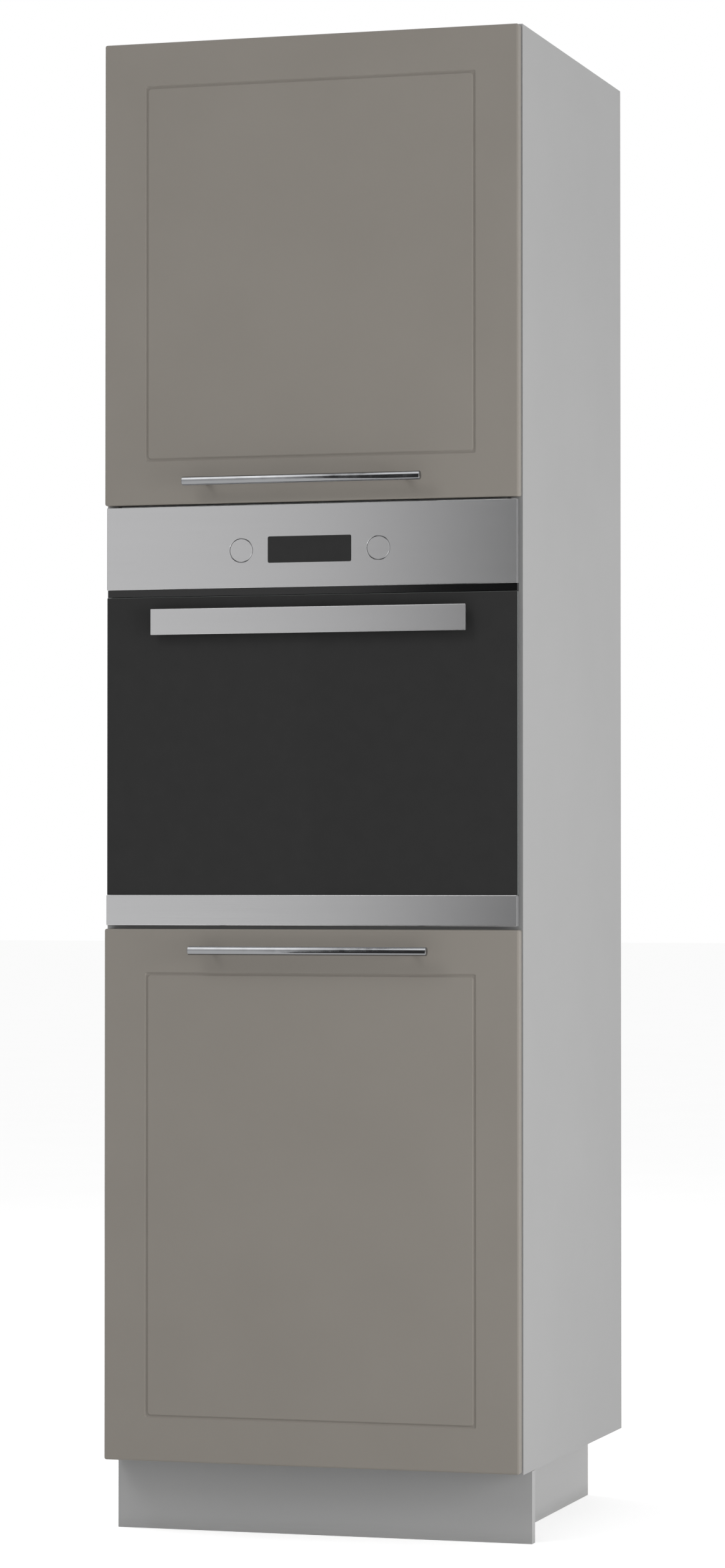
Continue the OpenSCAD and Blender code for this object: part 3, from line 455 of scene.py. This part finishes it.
# %% Moulded black plastic
GRAINS_PER_METRE = 1800
LEAN = 0.0105  # rise in each metre, or 0.6 degrees
FACES_ROOM = -0.9  # the front looks along -Y
plastic, tree, shader, place = start("moulded black polypropylene", {"Specular IOR Level": 0.45})
grain = add(tree, "ShaderNodeTexNoise", {
    "Vector": place["Object"], "Scale": GRAINS_PER_METRE, "Detail": 2})
grain_colour = add(tree, "ShaderNodeMix", {
    0: grain.outputs["Fac"], 6: linear("#19191b"), 7: linear("#232325")}, data_type="RGBA")
facing = add(tree, "ShaderNodeSeparateXYZ", {"Vector": place["Normal"]})
polished = add(tree, "ShaderNodeMath", {
    0: facing.outputs["Y"], 1: FACES_ROOM}, operation="LESS_THAN")
plastic_colour = add(tree, "ShaderNodeMix", {
    0: polished.outputs[0], 6: grain_colour.outputs[2], 7: linear("#0a0a0b")}, data_type="RGBA")
grain_gloss = add(tree, "ShaderNodeMapRange", {
    "Value": grain.outputs["Fac"], "To Min": 0.45, "To Max": 0.65})
plastic_gloss = add(tree, "ShaderNodeMix", {
    0: polished.outputs[0], 2: grain_gloss.outputs[0], 3: 0.08}, data_type="FLOAT")
grain_depth = add(tree, "ShaderNodeMapRange", {
    "Value": polished.outputs[0], "To Min": 0.3, "To Max": 0.01})
across = add(tree, "ShaderNodeSeparateXYZ", {"Vector": place["Object"]})
lean = add(tree, "ShaderNodeBump", {
    "Height": across.outputs["X"], "Strength": 1.0, "Distance": LEAN})
grain_relief = add(tree, "ShaderNodeBump", {
    "Height": grain.outputs["Fac"], "Strength": grain_depth.outputs[0], "Distance": 0.0003,
    "Normal": lean.outputs[0]})
join(tree, shader, Base_Color=plastic_colour.outputs[2], Roughness=plastic_gloss.outputs[0],
     Normal=grain_relief.outputs[0])
finishes["black_plastic"] = plastic
print("plastic: grain of", round(1000 / GRAINS_PER_METRE, 2), "mm")

# %% [markdown]
# **Soft and inner stuff.** The clear buffers, the braided oven seal, the mineral wool, the circuit
# board, the heater tubes and the lamp glass are seen only through an open door or not at all, but
# each gets the finish of its kind.

# %% Clear buffers and the oven seal
SEAL_BANDS = 130
buffer, tree, shader, place = start("clear polyurethane", {
    "IOR": 1.49, "Transmission Weight": 0.5, "Subsurface Weight": 0.1})
haze = add(tree, "ShaderNodeTexNoise", {"Vector": place["Object"], "Scale": 700, "Detail": 2})
haze_colour = add(tree, "ShaderNodeMix", {
    0: haze.outputs["Fac"], 6: linear("#dcdcd8"), 7: linear("#ecece9")}, data_type="RGBA")
haze_gloss = add(tree, "ShaderNodeMapRange", {
    "Value": haze.outputs["Fac"], "To Min": 0.2, "To Max": 0.35})
join(tree, shader, Base_Color=haze_colour.outputs[2], Roughness=haze_gloss.outputs[0])
finishes["clear_bumper"] = buffer

seal, tree, shader, place = start("braided oven seal", {"Specular IOR Level": 0.3})
strand = add(tree, "ShaderNodeTexWave", {
    "Vector": place["Object"], "Scale": SEAL_BANDS, "Distortion": 1.5,
    "Detail": 1}, bands_direction="DIAGONAL")
strand_colour = add(tree, "ShaderNodeMix", {
    0: strand.outputs["Fac"], 6: linear("#4b4b49"), 7: linear("#7b7b78")}, data_type="RGBA")
strand_gloss = add(tree, "ShaderNodeMapRange", {
    "Value": strand.outputs["Fac"], "To Min": 0.9, "To Max": 0.65})
strand_relief = add(tree, "ShaderNodeBump", {
    "Height": strand.outputs["Fac"], "Strength": 0.6, "Distance": 0.0008})
join(tree, shader, Base_Color=strand_colour.outputs[2], Roughness=strand_gloss.outputs[0],
     Normal=strand_relief.outputs[0])
finishes["gasket"] = seal
print("seal: a strand every", round(1000 * math.tau / 10 / SEAL_BANDS, 1), "mm")

# %% Mineral wool and the circuit board
WOOL_ALONG, WOOL_THROUGH = 90, 320  # fibres in a metre
TRACKS_PER_METRE, ROW_SHARE = 60, 0.25  # a row is a quarter of the pattern by default
wool, tree, shader, place = start("mineral wool", {"Specular IOR Level": 0.1, "Sheen Weight": 0.3})
mat_place = add(tree, "ShaderNodeMapping", {
    "Vector": place["Object"], "Scale": (WOOL_ALONG, WOOL_ALONG, WOOL_THROUGH)})
felt = add(tree, "ShaderNodeTexNoise", {
    "Vector": mat_place.outputs[0], "Scale": 1, "Detail": 8, "Distortion": 1.2})
wool_colour = add(tree, "ShaderNodeMix", {
    0: felt.outputs["Fac"], 6: linear("#9c8c5c"), 7: linear("#e0d8b8")}, data_type="RGBA")
wool_gloss = add(tree, "ShaderNodeMapRange", {
    "Value": felt.outputs["Fac"], "To Min": 0.85, "To Max": 1})
wool_relief = add(tree, "ShaderNodeBump", {
    "Height": felt.outputs["Fac"], "Strength": 0.9, "Distance": 0.003})
join(tree, shader, Base_Color=wool_colour.outputs[2], Roughness=wool_gloss.outputs[0],
     Normal=wool_relief.outputs[0])
finishes["wool"] = wool

circuit, tree, shader, place = start("green circuit board", {"Specular IOR Level": 0.5})
tracks = add(tree, "ShaderNodeTexBrick", {
    "Vector": place["Object"], "Scale": TRACKS_PER_METRE, "Mortar Size": 0.03,
    "Color1": linear("#1f5a36"), "Color2": linear("#24633c"), "Mortar": linear("#3f8a55")})
mask_gloss = add(tree, "ShaderNodeMapRange", {
    "Value": tracks.outputs["Fac"], "To Min": 0.25, "To Max": 0.4})
join(tree, shader, Base_Color=tracks.outputs["Color"], Roughness=mask_gloss.outputs[0])
finishes["circuit_board"] = circuit
print("wool: fibres", round(1000 / WOOL_ALONG), "mm long; circuit board: a track every",
      round(1000 * ROW_SHARE / TRACKS_PER_METRE), "mm")

# %% Heater tubes and lamp glass
heater, tree, shader, place = start("heat-tinted steel tube", {"Metallic": 1.0})
tint = add(tree, "ShaderNodeTexNoise", {"Vector": place["Object"], "Scale": 22, "Detail": 4})
heater_colour = add(tree, "ShaderNodeMix", {
    0: tint.outputs["Fac"], 6: linear("#3a3431"), 7: linear("#6b6059")}, data_type="RGBA")
heater_gloss = add(tree, "ShaderNodeMapRange", {
    "Value": tint.outputs["Fac"], "To Min": 0.4, "To Max": 0.6})
join(tree, shader, Base_Color=heater_colour.outputs[2], Roughness=heater_gloss.outputs[0])
finishes["element_steel"] = heater

lamp_glass, tree, shader, place = start("frosted lamp glass", {
    "IOR": 1.45, "Transmission Weight": 0.6, "Base Color": linear("#e3e2da")})
frost = add(tree, "ShaderNodeTexNoise", {"Vector": place["Object"], "Scale": 500, "Detail": 2})
frost_gloss = add(tree, "ShaderNodeMapRange", {
    "Value": frost.outputs["Fac"], "To Min": 0.3, "To Max": 0.5})
join(tree, shader, Roughness=frost_gloss.outputs[0])
finishes["lamp_glass"] = lamp_glass
print(len(finishes), "finishes made:", ", ".join(sorted(finishes)))

# %% [markdown]
# The record names a material slot for every node. Looking the finish up by that slot keeps one list
# of finishes for the solids and for the pieces made below.

# %% Every CAD node gets its finish
for part in record["subparts"]:
    solid = nodes[part["node"]]
    solid.data.materials.clear()
    solid.data.materials.append(finishes[part["material_slot"]])
print("dressed", len(record["subparts"]), "nodes")

# %% [markdown]
# **Screws.** A fitted unit has dozens of the same screw: in the hinge plates and cups, under the
# legs, and round the oven's casing. One head is turned like a lathe profile, and a cross is cut
# into it with a boolean. The copies come from Geometry Nodes: a point for each place, with the
# direction it faces as an attribute, an instance on each, and a random turn, because no fitter
# leaves every cross upright. Modelling each by hand would be slower and look stamped.

# %% Helpers for small pieces
def plain_object(name, made):
    """Turns a bmesh into an object in the scene."""
    data = bpy.data.meshes.new(name)
    made.to_mesh(data)
    made.free()
    piece = bpy.data.objects.new(name, data)
    bpy.context.scene.collection.objects.link(piece)
    return piece


def bake(piece):
    """Turns a piece's modifiers into a plain mesh."""
    seen = piece.evaluated_get(bpy.context.evaluated_depsgraph_get())
    done = bpy.data.meshes.new_from_object(seen)
    piece.modifiers.clear()
    piece.data = done
    return piece


print("small pieces go into the", bpy.context.scene.collection.name)

# %% One screw head, one millimetre across
HEAD_PROFILE = ((0, 0.33), (0.2, 0.32), (0.36, 0.26), (0.46, 0.15),
                (0.5, 0.02), (0.5, -0.01), (0, -0.01))
HEAD_STEPS = 20
CROSS_FOOT, CROSS_RIM, CROSS_TAPER = 0.13, 0.36, 0.6
ARM_LONG, ARM_WIDE = 0.3, 0.06
BOX_CORNERS = ((-1, -1), (1, -1), (1, 1), (-1, 1))
BOX_FACES = ((3, 2, 1, 0), (4, 5, 6, 7), (0, 1, 5, 4), (1, 2, 6, 5), (2, 3, 7, 6), (3, 0, 4, 7))


def wedge(name, long, wide):
    """One arm pair of the cross as a cutter, narrower at its foot than at its rim."""
    made = bmesh.new()
    corners = [made.verts.new((sx * long * k, sy * wide * k, z))
               for k, z in ((CROSS_TAPER, CROSS_FOOT), (1, CROSS_RIM)) for sx, sy in BOX_CORNERS]
    for face in BOX_FACES:
        made.faces.new([corners[i] for i in face])
    piece = plain_object(name, made)
    for v in piece.data.vertices:
        v.co = v.co / 1000
    return piece


turned = bmesh.new()
ring = [turned.verts.new((r / 1000, 0, z / 1000)) for r, z in HEAD_PROFILE]
lines = [turned.edges.new(pair) for pair in zip(ring, ring[1:])]
bmesh.ops.spin(turned, geom=ring + lines, cent=(0, 0, 0), axis=(0, 0, 1), angle=math.tau,
               steps=HEAD_STEPS)
bmesh.ops.remove_doubles(turned, verts=turned.verts, dist=1e-7)
bmesh.ops.recalc_face_normals(turned, faces=turned.faces)
head = plain_object("screw_head", turned)
cutters = [wedge("cutter_a", ARM_LONG, ARM_WIDE), wedge("cutter_b", ARM_WIDE, ARM_LONG)]
for cutter in cutters:
    cut = head.modifiers.new("cross", "BOOLEAN")
    cut.operation, cut.solver, cut.object = "DIFFERENCE", "EXACT", cutter
bake(head)
for cutter in cutters:
    bpy.data.objects.remove(cutter)
print("screw head:", len(head.data.polygons), "faces")

# %% [markdown]
# Two node trees follow, one for the screws and one for the bars. Both start with the same steps:
# their inputs get names, and each name's identifier is kept, because a modifier is set by the
# identifier. Both end in the same way too: the modifier is run once, its result becomes a plain
# mesh, and the piece is told which body it rides on.

# %% The tree that sets a screw on every point
def new_tree(name, inputs, output):
    """A tree with named inputs and one output, its inputs' identifiers, and their sockets."""
    tree = bpy.data.node_groups.new(name, "GeometryNodeTree")
    identifiers = {}
    for label, kind in inputs.items():
        socket = tree.interface.new_socket(name=label, in_out="INPUT", socket_type=kind)
        identifiers[label] = socket.identifier
    tree.interface.new_socket(name=output, in_out="OUTPUT", socket_type="NodeSocketGeometry")
    return tree, identifiers, add(tree, "NodeGroupInput").outputs


fasten, screw_inputs, given = new_tree("set a fastener on each point", {
    "Points": "NodeSocketGeometry", "Head": "NodeSocketObject", "Diameter": "NodeSocketFloat",
    "Turn Seed": "NodeSocketInt", "Finish": "NodeSocketMaterial"}, "Screws")
facing = add(fasten, "GeometryNodeInputNamedAttribute", {
    "Name": "facing"}, data_type="FLOAT_VECTOR")
turn_out = add(fasten, "FunctionNodeAlignRotationToVector", {
    "Vector": facing.outputs["Attribute"]}, axis="Z")
shape = add(fasten, "GeometryNodeObjectInfo", {"Object": given["Head"]})
copies = add(fasten, "GeometryNodeInstanceOnPoints", {
    "Points": given["Points"], "Instance": shape.outputs["Geometry"],
    "Rotation": turn_out.outputs[0], "Scale": given["Diameter"]})
spin = add(fasten, "FunctionNodeRandomValue", {
    3: math.pi, "Seed": given["Turn Seed"]}, data_type="FLOAT")
spin_vector = add(fasten, "ShaderNodeCombineXYZ", {"Z": spin.outputs[1]})
spun = add(fasten, "GeometryNodeRotateInstances", {
    "Instances": copies.outputs[0], "Rotation": spin_vector.outputs[0]})
real = add(fasten, "GeometryNodeRealizeInstances", {"Geometry": spun.outputs[0]})
coated = add(fasten, "GeometryNodeSetMaterial", {
    "Geometry": real.outputs[0], "Material": given["Finish"]})
add(fasten, "NodeGroupOutput", {"Screws": coated.outputs[0]})
print("screw tree:", len(fasten.nodes), "nodes")

# %% Setting a group of screws
BOTH = (-1, 1)
RIGHTWARDS, BACKWARDS, DOWNWARDS = (1, 0, 0), (0, 1, 0), (0, 0, -1)


def grow(name, seeds, tree, identifiers, values):
    """Runs a tree on a mesh of points or lines, and leaves a plain mesh."""
    piece = bpy.data.objects.new(name, seeds)
    bpy.context.scene.collection.objects.link(piece)
    tool = piece.modifiers.new(tree.name, "NODES")
    tool.node_group = tree
    for label, value in values.items():
        tool[identifiers[label]] = value
    return bake(piece)


def screws(name, body, places, facing, diameter, seed, slot="zinc"):
    """Sets one screw on each place, all facing one way, as a plain mesh that rides on a body."""
    points = bpy.data.meshes.new(name)
    points.from_pydata([tuple(p) for p in places], [], [])
    way = points.attributes.new("facing", "FLOAT_VECTOR", "POINT")
    way.data.foreach_set("vector", list(facing) * len(places))
    piece = grow(name, points, fasten, screw_inputs, {
        "Head": head, "Diameter": diameter, "Turn Seed": seed, "Finish": finishes[slot]})
    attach(piece, body)
    print(name, len(places), "screws,", len(piece.data.polygons), "faces")


print("a screw of 6 mm stands", round(HEAD_PROFILE[0][1] * 6, 1), "mm proud")

# %% [markdown]
# The places follow from the drawing. Each hinge plate has a screw above and below the arm, the arm
# has the two that set the door, and each cup has one above and one below its middle.

# %% The screws of the hinges
HINGE_HEIGHTS = (202, 740.5, 1530.5, 1975.5)
PLATE_FACE, PLATE_SCREW_BACK, PLATE_SCREW_RISE = -281, 42, 17
ARM_FACE, ARM_SCREWS_BACK = -266, (22, 50)
CUP_ACROSS, CUP_FACE, CUP_SCREW_RISE = -276, -1, 20.5
plate_places = [at(PLATE_FACE, PLATE_SCREW_BACK, z + s * PLATE_SCREW_RISE)
                for z in HINGE_HEIGHTS for s in BOTH]
screws("hinge_plate_screws", "housing", plate_places, RIGHTWARDS, diameter=7.5, seed=3)
arm_places = [at(ARM_FACE, y, z) for z in HINGE_HEIGHTS for y in ARM_SCREWS_BACK]
screws("hinge_setting_screws", "housing", arm_places, RIGHTWARDS, diameter=6, seed=5)
for which, heights, seed in (("lower", HINGE_HEIGHTS[:2], 7), ("upper", HINGE_HEIGHTS[2:], 9)):
    cup_places = [at(CUP_ACROSS, CUP_FACE, z + s * CUP_SCREW_RISE) for z in heights for s in BOTH]
    screws(which + "_cup_screws", which + "_door", cup_places, BACKWARDS, diameter=6.5, seed=seed)

# %% [markdown]
# Four screws hold each leg's socket under the bottom panel. The casing's screws run round its back,
# and two more close the terminal box.

# %% The screws of the legs and of the oven's back
LEG_ACROSS, LEGS_BACK, SOCKET_FACE, SOCKET_SCREW_OUT = 195, (100, 500), 96, 20.5
CASING_SIDE, CASING_BACK, CASING_FOOT, CASING_TOP = 272, 540, 852, 1421
CASING_SCREW_HEIGHTS = (870, 1005, 1140, 1275, 1395)
CASING_SCREW_ACROSS = (-240, -120, 0, 120, 240)
BOX_SCREW_IN, BOX_SCREW_DOWN = 0.01, 0.012
OUT_BY = (-SOCKET_SCREW_OUT, SOCKET_SCREW_OUT)
leg_places = [at(side * LEG_ACROSS + a, y + b, SOCKET_FACE)
              for side in BOTH for y in LEGS_BACK for a in OUT_BY for b in OUT_BY]
screws("leg_screws", "housing", leg_places, DOWNWARDS, diameter=7, seed=11)
casing_edge = [at(side * CASING_SIDE, CASING_BACK, z)
               for side in BOTH for z in CASING_SCREW_HEIGHTS]
casing_edge += [at(x, CASING_BACK, z)
                for z in (CASING_FOOT, CASING_TOP) for x in CASING_SCREW_ACROSS]
screws("casing_back_screws", "housing", casing_edge, BACKWARDS, diameter=8, seed=13)
box_low, box_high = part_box("terminal_box")
box_places = [Vector((x, box_high.y, box_high.z - BOX_SCREW_DOWN))
              for x in (box_low.x + BOX_SCREW_IN, box_high.x - BOX_SCREW_IN)]
screws("terminal_box_screws", "housing", box_places, BACKWARDS, diameter=6, seed=15)

# %% [markdown]
# **Bar pulls.** Each pull is a chrome bar on two posts. A bar's look is all in its reflections, so
# it wants more sides than the CAD mesh has, and a small chamfer at each end, where the real one is
# turned. Geometry Nodes sweep a circle along a line. The line carries its own girth, which is
# smaller at its ends: that draws the chamfer.

# %% The tree that sweeps a bar along a line
sweep, bar_inputs, given = new_tree("sweep a round bar", {
    "Lines": "NodeSocketGeometry", "Diameter": "NodeSocketFloat", "Sides": "NodeSocketInt",
    "Finish": "NodeSocketMaterial"}, "Bars")
girth = add(sweep, "GeometryNodeInputNamedAttribute", {"Name": "girth"}, data_type="FLOAT")
path = add(sweep, "GeometryNodeMeshToCurve", {"Mesh": given["Lines"]})
sized = add(sweep, "GeometryNodeSetCurveRadius", {
    "Curve": path.outputs[0], "Radius": girth.outputs["Attribute"]})
half = add(sweep, "ShaderNodeMath", {0: given["Diameter"], 1: 0.5}, operation="MULTIPLY")
profile = add(sweep, "GeometryNodeCurvePrimitiveCircle", {
    "Resolution": given["Sides"], "Radius": half.outputs[0]})
swept = add(sweep, "GeometryNodeCurveToMesh", {
    "Curve": sized.outputs[0], "Profile Curve": profile.outputs[0],
    "Scale": girth.outputs["Attribute"], "Fill Caps": True})
whole = add(sweep, "GeometryNodeRealizeInstances", {"Geometry": swept.outputs[0]})
plated = add(sweep, "GeometryNodeSetMaterial", {
    "Geometry": whole.outputs[0], "Material": given["Finish"]})
add(sweep, "NodeGroupOutput", {"Bars": plated.outputs[0]})
print("bar tree:", len(sweep.nodes), "nodes")

# %% Sweeping a group of bars
SMOOTH_UP_TO = math.radians(30)


def bars(name, body, lines, diameter, chamfer, sides, slot="chrome"):
    """Sweeps one bar along each line, from end to end, as a plain mesh that rides on a body."""
    verts, edges, girths = [], [], []
    small = 1 - 2 * chamfer / diameter
    for start_at, end_at in lines:
        along = (end_at - start_at).normalized() * chamfer
        first = len(verts)
        verts += [start_at, start_at + along, end_at - along, end_at]
        edges += [(first + i, first + i + 1) for i in range(3)]
        girths += [small, 1, 1, small]
    data = bpy.data.meshes.new(name)
    data.from_pydata([tuple(v) for v in verts], edges, [])
    data.attributes.new("girth", "FLOAT", "POINT").data.foreach_set("value", girths)
    piece = grow(name, data, sweep, bar_inputs, {
        "Diameter": diameter, "Sides": sides, "Finish": finishes[slot]})
    piece.data.shade_smooth()
    piece.data.set_sharp_from_angle(angle=SMOOTH_UP_TO)
    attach(piece, body)
    print(name, [round(v * 1000, 1) for v in piece.dimensions], "mm,",
          len(piece.data.polygons), "faces")
    return piece


print("edges over", round(math.degrees(SMOOTH_UP_TO)), "degrees stay sharp")

# %% The two pulls, and the screws behind them
PULLS = (("lower", 5.5, 811), ("upper", -3.5, 1460))  # the door, how far right, how high
BAR_REACH, BAR_FORWARD, BAR_THICK, BAR_CHAMFER, BAR_SIDES = 171, -45.75, 0.012, 0.0006, 64
POST_OUT, POST_FOOT, POST_THICK, POST_CHAMFER, POST_SIDES = 144, -17.9, 0.008, 0.0003, 32
BOARD_BACK = -2
for which, across, high in PULLS:
    door = which + "_door"
    ends = (at(across - BAR_REACH, BAR_FORWARD, high), at(across + BAR_REACH, BAR_FORWARD, high))
    bar = bars(which + "_bar", door, [ends], BAR_THICK, BAR_CHAMFER, BAR_SIDES)
    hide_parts(which + "_pull")
    posts_at = [across + side * POST_OUT for side in BOTH]
    posts = [(at(x, BAR_FORWARD, high), at(x, POST_FOOT, high)) for x in posts_at]
    bars(which + "_bar_posts", door, posts, POST_THICK, POST_CHAMFER, POST_SIDES)
    screw_places = [at(x, BOARD_BACK, high) for x in posts_at]
    screws(which + "_bar_screws", door, screw_places, BACKWARDS, diameter=8, seed=17)

# %% [markdown]
# **The studio.** A plain white floor keeps the object's soft shadow. It glows a little, but only to
# the camera and to mirrors, so it reads as white without lighting the object. The world does the
# same: it is white to the camera and to anything that reflects or refracts, and gives a softer,
# lower light to matt surfaces.

# %% Floor
FLOOR_HALF, FLOOR_GLOW = 60, 0.5
floor_mesh = bmesh.new()
bmesh.ops.create_grid(floor_mesh, x_segments=1, y_segments=1, size=FLOOR_HALF)
floor = plain_object("floor", floor_mesh)
white_floor, tree, shader, place = start("matt white floor", {
    "Specular IOR Level": 0.0, "Roughness": 0.9})
mottle = add(tree, "ShaderNodeTexNoise", {"Vector": place["Object"], "Scale": 3, "Detail": 2})
floor_colour = add(tree, "ShaderNodeMix", {
    0: mottle.outputs["Fac"], 6: linear("#f0f0f0"), 7: linear("#f4f4f4")}, data_type="RGBA")
ray = add(tree, "ShaderNodeLightPath").outputs
seen_white = add(tree, "ShaderNodeMath", {
    0: ray["Is Camera Ray"], 1: ray["Is Glossy Ray"]}, operation="MAXIMUM")
lift = add(tree, "ShaderNodeMath", {0: seen_white.outputs[0], 1: FLOOR_GLOW}, operation="MULTIPLY")
shader.inputs["Emission Color"].default_value = (1, 1, 1, 1)
join(tree, shader, Base_Color=floor_colour.outputs[2], Emission_Strength=lift.outputs[0])
floor.data.materials.append(white_floor)
floor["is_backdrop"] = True
print("floor", floor.dimensions.x, "m across")

# %% World
TO_MATT, TO_EYE = 0.52, 1.0
world = bpy.data.worlds.new("white studio")
bpy.context.scene.world = world
world.use_nodes = True
tree = world.node_tree
tree.nodes.clear()
ray = add(tree, "ShaderNodeLightPath").outputs
mirror_or_eye = add(tree, "ShaderNodeMath", {
    0: ray["Is Camera Ray"], 1: ray["Is Glossy Ray"]}, operation="MAXIMUM")
white_to = add(tree, "ShaderNodeMath", {
    0: mirror_or_eye.outputs[0], 1: ray["Is Transmission Ray"]}, operation="MAXIMUM")
level = add(tree, "ShaderNodeMapRange", {
    "Value": white_to.outputs[0], "To Min": TO_MATT, "To Max": TO_EYE})
sky = add(tree, "ShaderNodeBackground", {"Color": (1, 1, 1, 1), "Strength": level.outputs[0]})
add(tree, "ShaderNodeOutputWorld", {"Surface": sky.outputs[0]})
print("world:", TO_MATT, "to matt surfaces,", TO_EYE, "to the camera and mirrors")

# %% [markdown]
# **Lamps.** A key lamp high on the left drops a short shadow to the right of each pull and below
# it. A second one low on the right makes the side brighter than the front, and a third behind on
# the left lights the sides that the camera doesn't see, so the unit looks plainly lit from
# anywhere. No mirror sees a lamp, because the cards below are there for that.

# %% Three lamps
LAMPS = (  # name, place, what it points at, length of a side, power
    ("key", (-2.6, -4.6, 5.0), (0, -0.3, 1.1), 2.6, 82),
    ("right", (3.3, -1.3, 0.7), (0.2, -0.1, 1.0), 2.0, 79),
    ("left", (-4.5, 1.8, 1.6), (-0.2, 0.0, 1.0), 3.0, 85),
)
for name, stand, aim, side, power in LAMPS:
    data = bpy.data.lights.new(name, "AREA")
    data.shape, data.size, data.size_y, data.energy = "RECTANGLE", side, side, power
    lamp = bpy.data.objects.new(name, data)
    bpy.context.scene.collection.objects.link(lamp)
    lamp.location = stand
    lamp.rotation_euler = (Vector(aim) - lamp.location).to_track_quat("-Z", "Y").to_euler()
    lamp.visible_glossy = False
    print(name, "lamp,", round((Vector(aim) - lamp.location).length, 2), "m away")

# %% [markdown]
# **What mirrors see.** Three curved cards stand far off, where only reflections find them, so they
# neither light the object nor show behind it. A dark board on the right draws the grey fade across
# the steel and the black band along the bars, as a black flag does in a product studio. A bright
# card overhead draws the light line along the top of each bar, and a second one to its right, in
# front of the board, carries that line on. Their edges are given as seen from the oven: how far a
# line of sight is rolled up about the X axis, and how far it is turned left.

# %% A card made of rows
EYE = Vector((0, -0.28, 0.9))
OVER_FLOOR = 0.004
GLOW_FADES_FROM, GLOW_FADES_TO = -0.299, -0.284  # across, as a part of the card's distance


def mirrored(turn, roll, reach):
    """A far point on a line from the oven, or one just over the floor where the line meets it."""
    a, b = math.radians(turn), math.radians(roll)
    way = Vector((-math.sin(a), -math.cos(a) * math.cos(b), math.cos(a) * math.sin(b)))
    return EYE + way * (min(reach, (EYE.z - OVER_FLOOR) / -way.z) if way.z < 0 else reach)


def studio_card(name, rows, steps, reach, dim, full):
    """A card of rows, each a roll and the turns at its ends, which glows from dim to full."""
    made = bmesh.new()
    grid = []
    for roll, left_turn, right_turn in rows:
        turns = [left_turn + (right_turn - left_turn) * i / steps for i in range(steps + 1)]
        grid.append([made.verts.new(mirrored(turn, roll, reach)) for turn in turns])
    for low_row, high_row in zip(grid, grid[1:]):
        for i in range(steps):
            made.faces.new((low_row[i], low_row[i + 1], high_row[i + 1], high_row[i]))
    card = plain_object(name, made)
    paint, tree, shader, place = start(name.replace("_", " "), {
        "Base Color": (0, 0, 0, 1), "Specular IOR Level": 0.0, "Roughness": 1.0})
    shader.inputs["Emission Color"].default_value = (1, 1, 1, 1)
    along = add(tree, "ShaderNodeSeparateXYZ", {"Vector": place["Object"]})
    glow = add(tree, "ShaderNodeMapRange", {
        "Value": along.outputs["X"], "From Min": GLOW_FADES_FROM * reach,
        "From Max": GLOW_FADES_TO * reach, "To Min": full, "To Max": dim})
    join(tree, shader, Emission_Strength=glow.outputs[0])
    card.data.materials.append(paint)
    card.visible_camera = card.visible_diffuse = False
    card.visible_transmission = card.visible_shadow = False
    card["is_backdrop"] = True
    print(name, len(card.data.polygons), "faces")


print("cards are seen from", tuple(round(v, 2) for v in EYE))

# %% The dark board and the two bright cards
LEFT_EDGE, RIGHT_EDGE = 17.3, 3
BOARD_FAR, BRIGHT_FAR = 40, 39
LEVEL_ROLLS = (-53, -40, -27, -14, -7, -3, 0, 5, 12, 20)
BOARD_LEFT = [(roll, LEFT_EDGE) for roll in LEVEL_ROLLS] + [
    (26, 17.15), (32, 17.05), (38, 16.95), (44, 16.75), (52, 16.6), (60, 16.5), (75, 16.45),
    (95, 16.42)]
SOFT_LEFT, SOFT_RIGHT = 19.2, (
    (37, 17.45), (42, 17.1), (48, 16.85), (56, 16.65), (65, 16.5), (80, 16.45), (100, 16.4),
    (130, 16.4))
SIDE_LEFT, SIDE_RIGHT = (
    (37, 16.35), (46, 16.33), (56, 16.27), (68, 16.2), (82, 16.1), (95, 16.0)), 8
board_rows = [(roll, turn, RIGHT_EDGE) for roll, turn in BOARD_LEFT]
studio_card("dark_board", board_rows, steps=12, reach=BOARD_FAR, dim=0.08, full=0.08)
soft_rows = [(roll, SOFT_LEFT, turn) for roll, turn in SOFT_RIGHT]
studio_card("soft_card", soft_rows, steps=6, reach=BRIGHT_FAR, dim=0.9, full=2.75)
side_rows = [(roll, turn, SIDE_RIGHT) for roll, turn in SIDE_LEFT]
studio_card("side_card", side_rows, steps=4, reach=BRIGHT_FAR, dim=2.0, full=2.0)

# %% [markdown]
# The source head of the screws has done its work, so it goes. The size of the dressed object is
# printed at the end.

# %% Look settings, sizes and the end
bpy.data.objects.remove(head)
bpy.context.scene.view_settings.view_transform = "Standard"
low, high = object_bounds()
print("visual box", [round(v, 4) for v in (*low, *high)])
